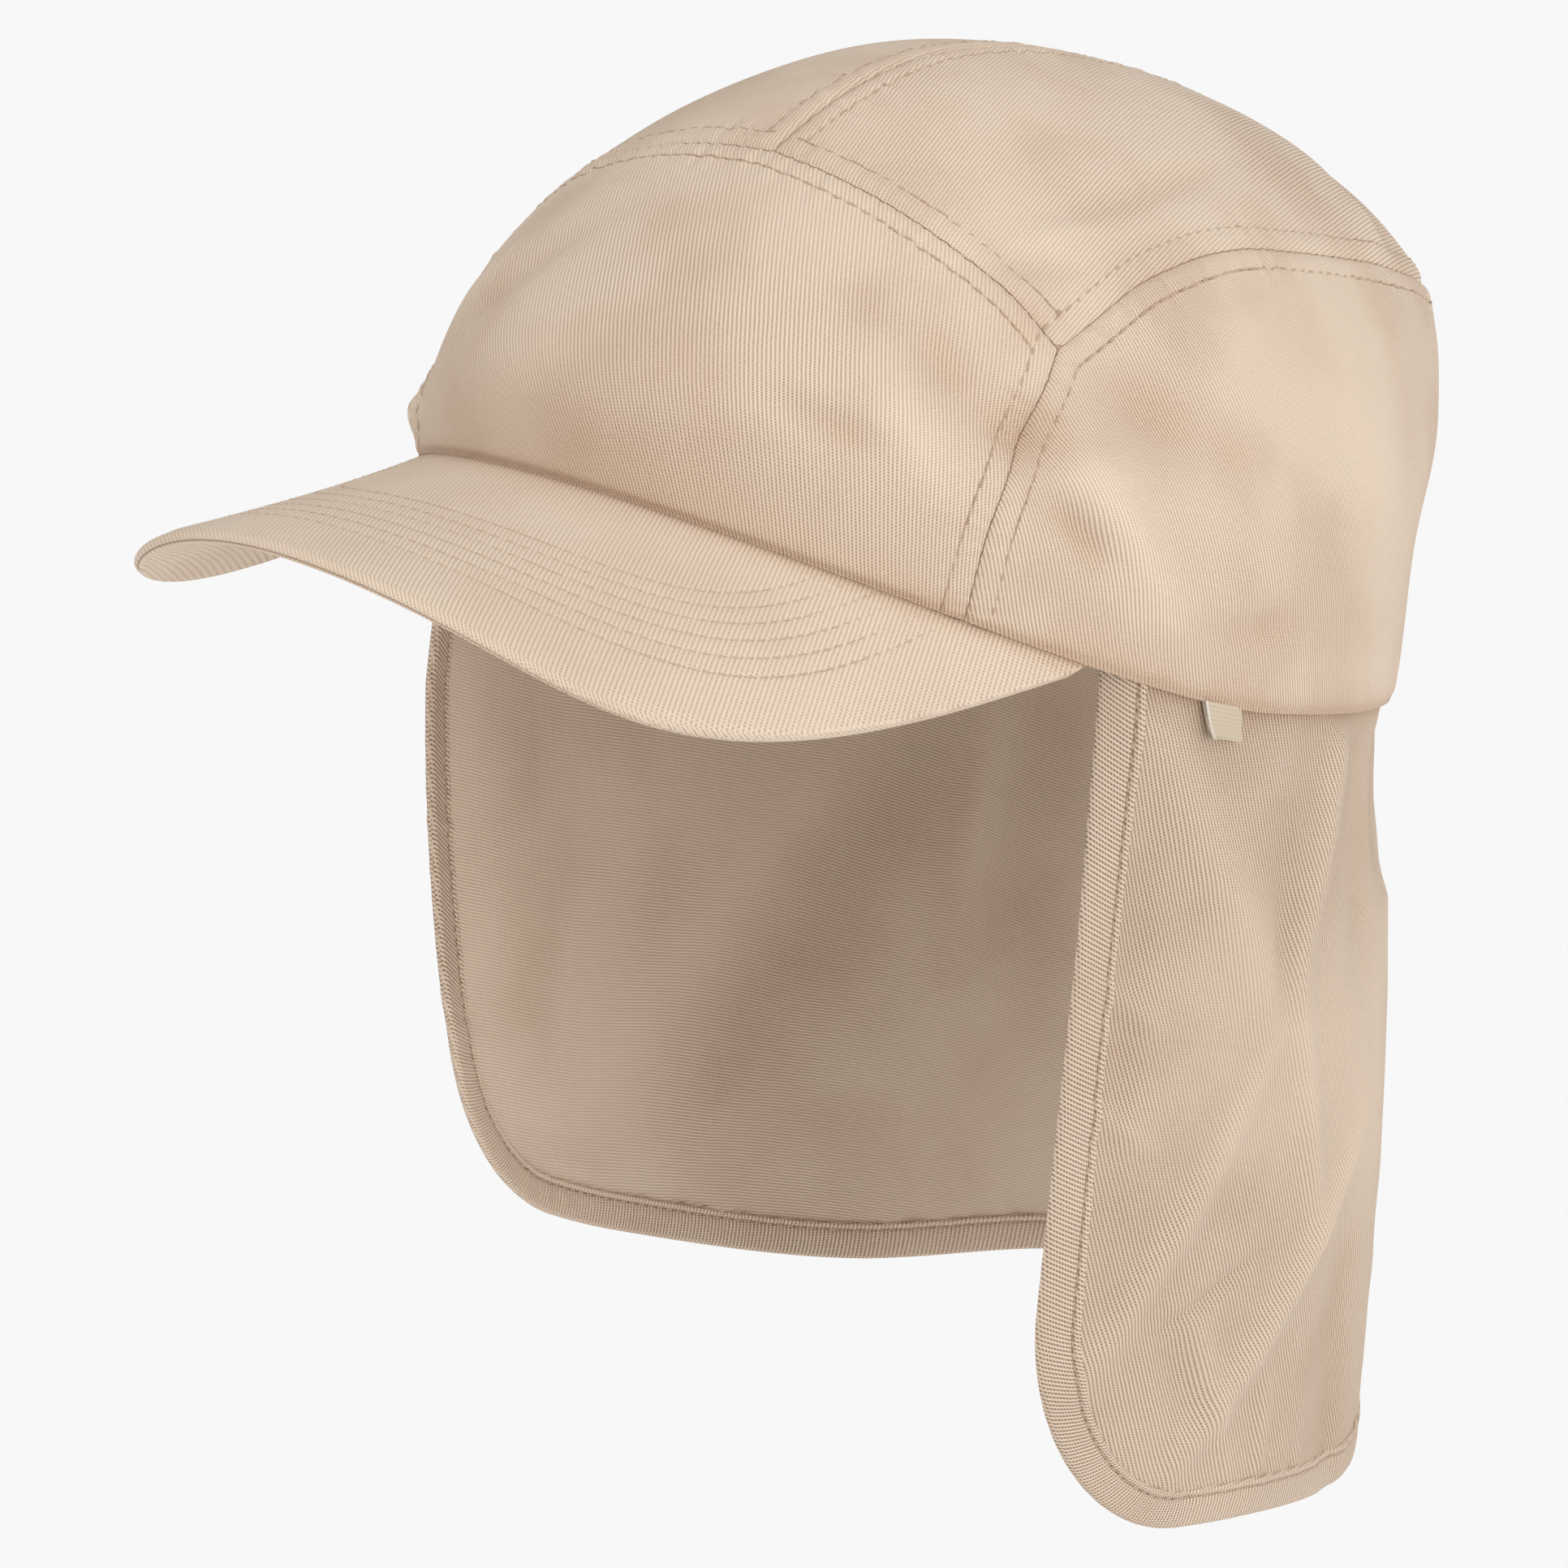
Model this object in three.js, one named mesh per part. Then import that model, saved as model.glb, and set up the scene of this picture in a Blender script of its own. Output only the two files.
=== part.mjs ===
// Legionnaire cap: five-panel cotton crown, stitched peak, hanging neck flap with a bound edge.
import * as THREE from 'three';

// Head opening at the crown's lower edge, millimetres, and how the cap sits on a head
const opening_half_length = 102;
const opening_half_width = 85.9;
const crown_height = 102.5;
const crown_tilt_degrees = 19.1;
const front_arch_height = 16.6;
const front_arch_half_angle = 87;
const front_arch_fullness = 0.75;
const front_arch_fade = 1.5;
const lowest_rise = -6;

// Cloth
const crown_wall = 1.3;
const dent_depth = 3.2;
const dent_share_at_hem = 0.25;
const dent_free_rise = 8;
const flap_wall = 1.1;
const piece_gap = 0.36;

// Peak
const peak_length = 75.8;
const peak_wall = 3.2;
const peak_seat = 0.9;
const peak_half_angle = 63;
const peak_fullness = 6.95;
const peak_end_sharpness = 1.536;
const peak_fall_middle = 0.174;
const peak_fall_left = 0.307;
const peak_fall_right = 0.385;
const peak_turn = 0.022;
const peak_end = 0.98;
const peak_ring_crowding = 0.55;
const rim_share = 0.94;
const rim_flatness = 0.92;
const rim_room = 0.3;

// Neck flap and its binding
const flap_tuck = 6;
const flap_front_angle_left = 64.5;
const flap_front_angle_right = 58.5;
const flap_drop = 187;
const fold_height = 4;
const fold_roundness = 0.8;
const fold_free_share = 0.05;
const clear_of_peak_angle = 6;
const clear_of_peak_fade = 4;
const clear_of_peak_share = 0.3;
const corner_width = 33;
const corner_height = 50;
const binding_width = 8.5;
const binding_wall = 2.4;

// Small tab in the seam
const label_width = 9.6;
const label_drop = 7;
const label_wall = 0.9;
const label_seat = 1.2;
const label_lift = 0.5;
const label_angle = 80;

// Crown form: rise angle, then front, back and side reach and the backward shift of its middle,
// as shares of the opening's half length, or of its half width for the side
const crown_rows = [
  { rise: 0, front: 1, back: 1, side: 1, shift: 0 },
  { rise: 15, front: 1.034, back: 1.036, side: 0.975, shift: -0.01 },
  { rise: 30, front: 0.938, back: 1.032, side: 0.888, shift: 0.035 },
  { rise: 45, front: 0.792, back: 0.962, side: 0.738, shift: 0.088 },
  { rise: 60, front: 0.598, back: 0.748, side: 0.5, shift: 0.094 },
  { rise: 75, front: 0.335, back: 0.424, side: 0.26, shift: 0.075 },
  { rise: 90, front: 0, back: 0, side: 0, shift: 0.059 },
];

// Seam between the front panel and a side panel: share of its rise, angle round the crown
const side_seam_rows = [
  { share: 0, angle: 47 },
  { share: 0.25, angle: 48.6 },
  { share: 0.5, angle: 50.4 },
  { share: 0.75, angle: 51.5 },
  { share: 1, angle: 52 },
];

// Seam over the front panel and along the side panels: angle round the crown, rise
const upper_seam_rows = [
  { angle: 0, rise: 48 },
  { angle: 12, rise: 46.8 },
  { angle: 24, rise: 44.4 },
  { angle: 35, rise: 40.8 },
  { angle: 44, rise: 37 },
  { angle: 52, rise: 32 },
  { angle: 60, rise: 41 },
  { angle: 68, rise: 45.6 },
  { angle: 79, rise: 48.8 },
  { angle: 94, rise: 49.6 },
  { angle: 121, rise: 48 },
  { angle: 150, rise: 43.5 },
  { angle: 180, rise: 40 },
];
const corner_angle = 52;
const back_angle = 172;

// Soft dents (minus) and swells (plus) of the crown: angle and rise of the middle, half lengths as shares
// of the crown's height, turn in degrees, depth as a share of dent_depth
const crown_dents = [
  { angle: 52, rise: 22.5, along: 0.08, across: 0.07, turn: 0, depth: -1.25 },
  { angle: 39, rise: 28, along: 0.12, across: 0.055, turn: -51, depth: -0.8 },
  { angle: 66, rise: 27.5, along: 0.14, across: 0.085, turn: -25, depth: -1.05 },
  { angle: 64.5, rise: 14, along: 0.17, across: 0.055, turn: -53, depth: 0.85 },
  { angle: 102, rise: 25, along: 0.2, across: 0.08, turn: -70, depth: 0.31 },
  { angle: 39, rise: 17.5, along: 0.12, across: 0.055, turn: -57, depth: 0.5 },
  { angle: -58, rise: 4, along: 0.15, across: 0.08, turn: 0, depth: 1.75 },
  { angle: -48, rise: 16, along: 0.2, across: 0.12, turn: 0, depth: -0.75 },
  { angle: -72, rise: 28, along: 0.17, across: 0.12, turn: -15, depth: -0.38 },
  { angle: -104, rise: 22, along: 0.19, across: 0.1, turn: 65, depth: 0.38 },
  { angle: 131, rise: 15, along: 0.17, across: 0.15, turn: 0, depth: -0.53 },
  { angle: 180, rise: 20, along: 0.2, across: 0.12, turn: 0, depth: -0.45 },
];

// Flap form: place round the flap (-1 right front edge, 1 left front edge), then the drop of its lower
// edge and how far that edge stands to the left and back of a plumb line, as shares of flap_drop,
// and how far the hang bellies out, as a share of fold_height
const flap_rows = [
  { place: -1, drop: 0.64, aside: 0.018, back: -0.019, belly: 0.3 },
  { place: -0.75, drop: 0.816, aside: 0.059, back: 0.017, belly: 0.25 },
  { place: -0.5, drop: 0.941, aside: 0.072, back: 0.059, belly: 0 },
  { place: -0.25, drop: 0.968, aside: 0.048, back: 0.084, belly: 0 },
  { place: 0, drop: 0.979, aside: 0.015, back: 0.088, belly: 0 },
  { place: 0.25, drop: 0.991, aside: -0.041, back: 0.063, belly: 0.4 },
  { place: 0.5, drop: 0.986, aside: -0.053, back: 0.054, belly: 0.75 },
  { place: 0.75, drop: 0.908, aside: -0.061, back: 0.017, belly: 0.12 },
  { place: 1, drop: 0.818, aside: -0.066, back: -0.042, belly: 0 },
];

// Folds of the flap: place at the head and at the foot of each fold, the shares of the hang it covers,
// half width as a share of half the flap's run, height as a share of fold_height (plus stands outward)
const flap_folds = [
  { head: 0.44, foot: 0.46, from: -0.07, to: 0.26, half: 0.085, height: -1.25 },
  { head: 0.96, foot: 0.71, from: 0, to: 0.44, half: 0.042, height: 0.62 },
  { head: 0.645, foot: 0.725, from: -0.06, to: 0.36, half: 0.028, height: 0.5 },
  { head: 0.73, foot: 0.65, from: 0.25, to: 0.68, half: 0.028, height: 0.42 },
  { head: 0.605, foot: 0.58, from: -0.02, to: 0.38, half: 0.042, height: -0.62 },
  { head: 0.735, foot: 0.965, from: 0.37, to: 0.85, half: 0.028, height: 0.52 },
  { head: 0.54, foot: 0.87, from: 0.48, to: 0.97, half: 0.028, height: 0.62 },
  { head: 0.57, foot: 0.6, from: 0.56, to: 0.99, half: 0.05, height: -0.5 },
  { head: -0.32, foot: -0.8, from: 0.12, to: 0.92, half: 0.055, height: 0.95 },
  { head: -0.24, foot: -0.72, from: 0.16, to: 0.96, half: 0.05, height: -0.55 },
  { head: -0.255, foot: -0.35, from: 0.15, to: 0.62, half: 0.028, height: 0.5 },
  { head: -0.2, foot: -0.31, from: 0.2, to: 0.8, half: 0.036, height: -0.42 },
  { head: -0.82, foot: -0.88, from: 0.12, to: 0.88, half: 0.07, height: -0.5 },
  { head: -0.98, foot: -0.98, from: 0.04, to: 0.78, half: 0.07, height: 0.6 },
  { head: -0.04, foot: -0.1, from: 0.1, to: 0.97, half: 0.06, height: 0.65 },
  { head: 0.12, foot: 0.04, from: 0.1, to: 0.95, half: 0.07, height: -0.55 },
  { head: 0.29, foot: 0.24, from: 0.12, to: 1, half: 0.06, height: 0.6 },
];

// Gathers under the crown's edge: height in mm, waves to each side, share of the hang they reach down
const gather_height = 1.3;
const gather_count = 13;
const gather_reach = 0.16;
const gather_start = 0.03;
const gather_band = 0.78;
const gather_band_sharpness = 6;

// Shares of the hang at which the flap's rows of points lie, closer together round its lower corners
const flap_row_shares = [
  0, 0.05, 0.12, 0.2, 0.29, 0.38, 0.47, 0.56, 0.64, 0.71, 0.77, 0.83, 0.88, 0.925, 0.96, 0.983, 1,
];

// Shares of the peak's reach at which its rings of points lie, and quarter turns round its rim
const peak_ring_shares = [0, 0.14, 0.32, 0.5, 0.68, 0.84];
const rim_turns = [0.5, 1, 1.5];

// Section of the binding: share of its width from the free edge, thickness as a share of the fullest
const binding_section = [
  { width: 0, puff: 0.1 },
  { width: 0.12, puff: 0.85 },
  { width: 0.5, puff: 0.7 },
  { width: 0.88, puff: 1 },
  { width: 1, puff: 0.55 },
];

// Fineness: steps used to find directions, and numbers of points along the pieces
const map_step = 0.4;
const slope_step = 0.01;
const edge_step = 0.004;
const edge_count = 160;
const settle_turns = 4;
const run_steps = 24;
const peak_columns = 36;
const flap_columns = 50;
const flap_side_crowding = 0.25;
const binding_steps = 46;
const label_steps = 4;
const least_seam_length = 2;
const most_inset_share = 0.2;
const least_round = 0.05;

const radian = Math.PI / 180;

// A smooth curve through the rows of a table
function curve(rows, key, column, at) {
  const last = rows.length - 1;
  const x = Math.min(Math.max(at, rows[0][key]), rows[last][key]);
  let i = 0;
  while (i < last - 1 && x > rows[i + 1][key]) i += 1;
  const slope = (k) => (rows[k + 1][column] - rows[k][column]) / (rows[k + 1][key] - rows[k][key]);
  const blend = (k) => {
    if (k === 0) return slope(0);
    if (k === last) return slope(last - 1);
    const before = rows[k][key] - rows[k - 1][key];
    const after = rows[k + 1][key] - rows[k][key];
    return (slope(k - 1) * after + slope(k) * before) / (before + after);
  };
  const width = rows[i + 1][key] - rows[i][key];
  const t = (x - rows[i][key]) / width;
  const start = rows[i][column] * (1 + t * t * (2 * t - 3)) + rows[i + 1][column] * t * t * (3 - 2 * t);
  return start + width * t * (1 - t) * (blend(i) * (1 - t) - blend(i + 1) * t);
}

// The crown leans back on the head: its own upright is turned about the line from ear to ear
function lean(p) {
  const c = Math.cos(crown_tilt_degrees * radian);
  const s = Math.sin(crown_tilt_degrees * radian);
  return new THREE.Vector3(p.x, p.y * c + p.z * s, p.z * c - p.y * s);
}

// Point of the undented crown, angle from the middle front towards the wearer's left, rise 0 to 90
function crownBase(angle, rise) {
  const c = Math.cos(angle * radian);
  const s = Math.sin(angle * radian);
  const up = Math.sin(rise * radian);
  const column = c > 0 ? 'front' : 'back';
  const reach = curve(crown_rows, 'rise', column, rise) * opening_half_length;
  const side = curve(crown_rows, 'rise', 'side', rise) * opening_half_width;
  const shift = curve(crown_rows, 'rise', 'shift', rise) * opening_half_length;
  let arch = 0;
  const round = Math.abs(((angle + 540) % 360) - 180) / front_arch_half_angle;
  if (round < 1) {
    arch = front_arch_height * Math.pow(0.5 + 0.5 * Math.cos(Math.PI * round), front_arch_fullness);
  }
  const z = crown_height * up + arch * Math.pow(Math.max(1 - up, 0), front_arch_fade);
  return new THREE.Vector3(side * s, shift - reach * c, z);
}

// The crown seen from above as a flat map: the middle of the map is the top, its rim the lower edge
function mapPoint(angle, rise) {
  return { x: (90 - rise) * Math.sin(angle * radian), y: -(90 - rise) * Math.cos(angle * radian) };
}

function crownDent(angle, rise) {
  let sum = 0;
  for (const d of crown_dents) {
    const turned = ((angle - d.angle + 540) % 360) - 180;
    const u = turned * radian * opening_half_width * Math.max(Math.cos(rise * radian), least_round);
    const v = (rise - d.rise) * radian * crown_height;
    const c = Math.cos(d.turn * radian);
    const s = Math.sin(d.turn * radian);
    const a = (u * c + v * s) / (d.along * crown_height);
    const b = (v * c - u * s) / (d.across * crown_height);
    sum += d.depth * dent_depth * Math.exp(-a * a - b * b);
  }
  return sum * Math.min(1, dent_share_at_hem + rise / dent_free_rise);
}

// Point of the crown at a place on the map, moved inward from its outer face by depth
function crownPoint(mx, my, depth) {
  const at = (x, y) => {
    const angle = Math.atan2(x, -y) / radian;
    return crownBase(angle, Math.max(90 - Math.hypot(x, y), lowest_rise));
  };
  const e = map_step;
  const across = at(mx + e, my).sub(at(mx - e, my));
  const along = at(mx, my + e).sub(at(mx, my - e));
  const normal = across.cross(along).normalize();
  const angle = Math.atan2(mx, -my) / radian;
  const rise = 90 - Math.hypot(mx, my);
  return lean(at(mx, my).addScaledVector(normal, crownDent(angle, rise) - depth));
}

// A closed piece from an outer and an inner grid of points joined round their edges
function sheetSolid(outer, inner) {
  const rows = outer.length;
  const columns = outer[0].length;
  const points = [];
  const faces = [];
  for (const p of outer.concat(inner).flat()) points.push(p.x, p.y, p.z);
  const half = rows * columns;
  const at = (i, j, layer) => layer * half + i * columns + j;
  const quad = (a, b, c, d) => faces.push(a, b, c, a, c, d);
  for (let i = 0; i < rows - 1; i += 1) {
    for (let j = 0; j < columns - 1; j += 1) {
      quad(at(i, j, 0), at(i, j + 1, 0), at(i + 1, j + 1, 0), at(i + 1, j, 0));
      quad(at(i, j, 1), at(i + 1, j, 1), at(i + 1, j + 1, 1), at(i, j + 1, 1));
    }
  }
  for (let j = 0; j < columns - 1; j += 1) {
    quad(at(0, j, 0), at(0, j, 1), at(0, j + 1, 1), at(0, j + 1, 0));
    quad(at(rows - 1, j, 0), at(rows - 1, j + 1, 0), at(rows - 1, j + 1, 1), at(rows - 1, j, 1));
  }
  for (let i = 0; i < rows - 1; i += 1) {
    quad(at(i, 0, 0), at(i + 1, 0, 0), at(i + 1, 0, 1), at(i, 0, 1));
    const j = columns - 1;
    quad(at(i, j, 0), at(i, j, 1), at(i + 1, j, 1), at(i + 1, j, 0));
  }
  return closedGeometry(points, faces);
}

// A closed piece from rings of points, each ring joined to the next, both ends filled from a middle point
function ringSolid(rings) {
  const count = rings[0].length;
  const points = [];
  const faces = [];
  for (const p of rings.flat()) points.push(p.x, p.y, p.z);
  for (let i = 0; i < rings.length - 1; i += 1) {
    for (let j = 0; j < count; j += 1) {
      const k = (j + 1) % count;
      faces.push(i * count + j, i * count + k, (i + 1) * count + k);
      faces.push(i * count + j, (i + 1) * count + k, (i + 1) * count + j);
    }
  }
  for (const end of [0, rings.length - 1]) {
    const middle = new THREE.Vector3();
    for (const p of rings[end]) middle.addScaledVector(p, 1 / count);
    const m = points.length / 3;
    points.push(middle.x, middle.y, middle.z);
    for (let j = 0; j < count; j += 1) {
      const k = (j + 1) % count;
      if (end === 0) faces.push(m, end * count + k, end * count + j);
      else faces.push(m, end * count + j, end * count + k);
    }
  }
  return closedGeometry(points, faces);
}

// Faces are turned outward when the enclosed volume comes out negative
function closedGeometry(points, faces) {
  let volume = 0;
  const p = (i) => new THREE.Vector3(points[3 * i], points[3 * i + 1], points[3 * i + 2]);
  for (let i = 0; i < faces.length; i += 3) {
    volume += p(faces[i]).dot(p(faces[i + 1]).cross(p(faces[i + 2])));
  }
  const order = volume < 0 ? faces.slice().reverse() : faces;
  const geometry = new THREE.BufferGeometry();
  geometry.setAttribute('position', new THREE.Float32BufferAttribute(points, 3));
  geometry.setIndex(order);
  geometry.computeVertexNormals();
  return geometry;
}

function cloth(colour) {
  return new THREE.MeshStandardMaterial({ color: colour, roughness: 0.92, metalness: 0 });
}

// A panel from a rule that gives a map place for two shares, kept half a gap clear of its own edges
function panel(name, place, columns, rows, colour) {
  const layer = (depth) => {
    const grid = [];
    for (let i = 0; i <= rows; i += 1) {
      const row = [];
      for (let j = 0; j <= columns; j += 1) {
        const a = j / columns;
        const b = i / rows;
        const spot = (x, y) => {
          const m = place(x, y);
          return crownPoint(m.x, m.y, 0);
        };
        const middle = spot(0.5, b);
        const halves = spot(0, b).distanceTo(middle) + middle.distanceTo(spot(1, b));
        const wide = Math.max(halves, least_seam_length);
        const tall = Math.max(spot(a, 0).distanceTo(spot(a, 1)), least_seam_length);
        const ea = Math.min((0.5 * piece_gap) / wide, most_inset_share);
        const eb = Math.min((0.5 * piece_gap) / tall, most_inset_share);
        const m = place(ea + a * (1 - 2 * ea), eb + b * (1 - 2 * eb));
        row.push(crownPoint(m.x, m.y, depth));
      }
      grid.push(row);
    }
    return grid;
  };
  const mesh = new THREE.Mesh(sheetSolid(layer(0), layer(crown_wall)), cloth(colour));
  mesh.name = name;
  return mesh;
}

const upperSeam = (angle) => {
  const over_front = angle <= corner_angle;
  const rows = upper_seam_rows.filter((row) => {
    return over_front ? row.angle <= corner_angle : row.angle >= corner_angle;
  });
  return curve(rows, 'angle', 'rise', angle);
};
const sideSeam = (share) => curve(side_seam_rows, 'share', 'angle', share);

function frontPlace(a, b) {
  const across = 2 * a - 1;
  return mapPoint(across * sideSeam(b), b * upperSeam(Math.abs(across) * corner_angle));
}

function sidePlace(hand) {
  return (a, b) => {
    const start = sideSeam(b);
    const top = upperSeam(corner_angle + (180 - corner_angle) * a);
    return mapPoint(hand * (start + (180 - start) * a), b * top);
  };
}

function topPlace(hand) {
  const seam = (angle) => mapPoint(angle, upperSeam(angle));
  return (a, b) => {
    const front = seam(corner_angle * b);
    const back = seam(180 - (180 - back_angle) * b);
    const outer = seam(corner_angle + (back_angle - corner_angle) * a);
    const first = mapPoint(0, upperSeam(0));
    const last = mapPoint(180, upperSeam(180));
    const inner = { x: 0, y: first.y + (last.y - first.y) * a };
    const c0 = seam(corner_angle);
    const c1 = seam(back_angle);
    const mix = (k) => {
      const straight = (1 - b) * inner[k] + b * outer[k] + (1 - a) * front[k] + a * back[k];
      const corners = (1 - a) * ((1 - b) * first[k] + b * c0[k]) + a * ((1 - b) * last[k] + b * c1[k]);
      return straight - corners;
    };
    return { x: hand * mix('x'), y: mix('y') };
  };
}

// Peak: a sheet that leaves the front of the crown's lower edge, falling more at its sides
function peakPoint(across, out, depth) {
  const at = (u, v) => {
    const base = crownBase(u * peak_half_angle, 0);
    const full = Math.max(1 - Math.pow(Math.abs(u), peak_fullness), 0);
    const reach = v * peak_length * Math.pow(full, peak_end_sharpness);
    const fall = peak_fall_middle + (u > 0 ? peak_fall_left : peak_fall_right) * u * u;
    const turn = peak_turn * u;
    const step = new THREE.Vector3(Math.sin(turn), -Math.cos(turn), -fall);
    const inside = base.clone().setZ(0).normalize().multiplyScalar(-peak_seat);
    return base.add(inside).addScaledVector(step, reach).add(new THREE.Vector3(0, 0, -piece_gap));
  };
  const e = slope_step;
  const u = Math.min(Math.max(across, -peak_end), peak_end);
  const along = at(u + e, out).sub(at(u - e, out));
  const forward = at(u, out + e).sub(at(u, out - e));
  const normal = along.cross(forward).normalize();
  if (normal.z < 0) normal.negate();
  return at(across, out).addScaledVector(normal, -depth);
}

function peakMesh() {
  const rings = [];
  const steps = peak_ring_shares.concat(rim_share);
  for (let i = 0; i <= peak_columns; i += 1) {
    const share = (2 * i) / peak_columns - 1;
    const crowded = Math.sin((share * Math.PI) / 2) * peak_ring_crowding;
    const across = crowded + share * (peak_end - peak_ring_crowding);
    const ring = [];
    for (const v of steps) ring.push(lean(peakPoint(across, v, 0)));
    const rim = peakPoint(across, 1, peak_wall / 2);
    const inner = peakPoint(across, rim_share, peak_wall / 2);
    const outward = rim.clone().sub(inner);
    const room = Math.min(peak_wall / 2, outward.length() + rim_room);
    outward.normalize();
    const upper = peakPoint(across, 1, 0).sub(rim);
    for (const turn of rim_turns) {
      const c = Math.cos((turn * Math.PI) / 2);
      const s = Math.sin((turn * Math.PI) / 2);
      const spot = rim.clone().addScaledVector(upper, c * rim_flatness);
      ring.push(lean(spot.addScaledVector(outward, room * (s - 1))));
    }
    for (const v of steps.slice().reverse()) ring.push(lean(peakPoint(across, v, peak_wall)));
    rings.push(ring);
  }
  const mesh = new THREE.Mesh(ringSolid(rings), cloth('#dac3ad'));
  mesh.name = 'peak';
  return mesh;
}

// Flap: place round it, share of its hang, measured to its outer face; above 0 it runs up inside the crown
function flapBase(place, share) {
  const front = place > 0 ? flap_front_angle_left : flap_front_angle_right;
  const angle = 180 - place * (180 - front);
  const rise = Math.max(-share, 0) * flap_drop / crown_height / radian;
  const base = crownBase(angle, rise);
  const flat = new THREE.Vector3(base.x, base.y, 0).normalize();
  const t = Math.max(share, 0);
  const past_peak = Math.abs(angle > 180 ? angle - 360 : angle) - peak_half_angle;
  const behind = Math.min(Math.max((clear_of_peak_angle - past_peak) / clear_of_peak_fade, 0), 1);
  const room = peak_seat + 0.5 * peak_wall + 0.5 * (binding_wall - flap_wall);
  const tucked = crown_wall + piece_gap + room * behind * Math.max(1 - t / clear_of_peak_share, 0);
  const top = lean(base.addScaledVector(flat, -tucked));
  const bottom = -curve(flap_rows, 'place', 'drop', place) * flap_drop;
  const x = top.x + curve(flap_rows, 'place', 'aside', place) * flap_drop * t;
  const y = top.y + curve(flap_rows, 'place', 'back', place) * flap_drop * t;
  return new THREE.Vector3(x, y, top.z + (bottom - top.z) * t);
}

// Height of the hang at one place round the flap
function flapTall(place) {
  return flapBase(place, 0).distanceTo(flapBase(place, 1));
}

// Length of the flap's upper edge from the middle of the back to one front edge
function flapRun(hand) {
  let run = 0;
  for (let i = 0; i < run_steps; i += 1) {
    run += flapBase((hand * i) / run_steps, 0).distanceTo(flapBase((hand * (i + 1)) / run_steps, 0));
  }
  return run;
}

function flapFold(place, share) {
  let sum = 0;
  for (const f of flap_folds) {
    const t = (share - f.from) / (f.to - f.from);
    if (t <= 0 || t >= 1) continue;
    const line = f.head + (f.foot - f.head) * t;
    const d = (place - line) / f.half;
    sum += f.height * fold_height * Math.exp(-d * d) * Math.pow(Math.sin(Math.PI * t), fold_roundness);
  }
  const down = Math.max(share, 0);
  const near = Math.max(0, 1 - down / gather_reach) * Math.min(1, down / gather_start);
  const band = Math.max(0, 1 - Math.pow(Math.abs(place) / gather_band, gather_band_sharpness));
  sum += gather_height * near * band * Math.sin(place * gather_count * Math.PI);
  const belly = curve(flap_rows, 'place', 'belly', place) * fold_height;
  sum += belly * Math.sin(Math.PI * Math.min(down, 1));
  return sum * Math.min(1, down / fold_free_share);
}

function flapPoint(place, share, depth) {
  const e = slope_step;
  const low = Math.max(share, e);
  const across = flapBase(place - e, share).sub(flapBase(place + e, share));
  const down = flapBase(place, low + e).sub(flapBase(place, low));
  const normal = down.cross(across).normalize();
  const base = flapBase(place, share);
  const middle = new THREE.Vector3(base.x, base.y, 0);
  if (normal.dot(middle) < 0) normal.negate();
  return base.addScaledVector(normal, flapFold(place, share) - depth);
}

// Steps along the free edge: up to 1 down the front, up to 2 round the corner, up to 3 along the foot
const edge_pace_rows = [
  { step: 0, share: 0 },
  { step: 0.3, share: 1 },
  { step: 0.65, share: 2 },
  { step: 1, share: 3 },
];

// Free edge of the flap moved in by a width: down the front edge, round the corner, along the foot
function flapEdge(hand, inset, count) {
  const edge = [];
  const run = flapRun(hand);
  const cw = corner_width / run;
  const ch = corner_height / flap_drop;
  const spot = (s) => {
    const side = (1 - ch) * flap_drop;
    const corner = 0.5 * Math.PI * Math.sqrt((corner_width ** 2 + corner_height ** 2) / 2);
    const foot = (1 - cw) * run;
    const pace = curve(edge_pace_rows, 'step', 'share', s);
    let d = pace * side;
    if (pace >= 2) d = side + corner + (pace - 2) * foot;
    else if (pace >= 1) d = side + (pace - 1) * corner;
    if (d < side) return [1, d / flap_drop];
    if (d < side + corner) {
      const a = ((d - side) / corner) * (Math.PI / 2);
      return [1 - cw + cw * Math.cos(a), 1 - ch + ch * Math.sin(a)];
    }
    return [(1 - cw) * (1 - (d - side - corner) / foot), 1];
  };
  for (let i = 0; i <= count; i += 1) {
    const s = i / count;
    const p = spot(s);
    const q = spot(Math.min(s + edge_step, 1));
    const r = spot(Math.max(s - edge_step, 0));
    const tall = flapTall(hand * p[0]);
    const dx = (q[0] - r[0]) * run;
    const dy = (q[1] - r[1]) * tall;
    const size = Math.hypot(dx, dy);
    const nx = -dy / size;
    const ny = dx / size;
    const place = i === count ? 0 : p[0] + (nx * inset) / run;
    edge.push([hand * place, p[1] + (ny * inset) / tall]);
  }
  return edge;
}

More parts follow.
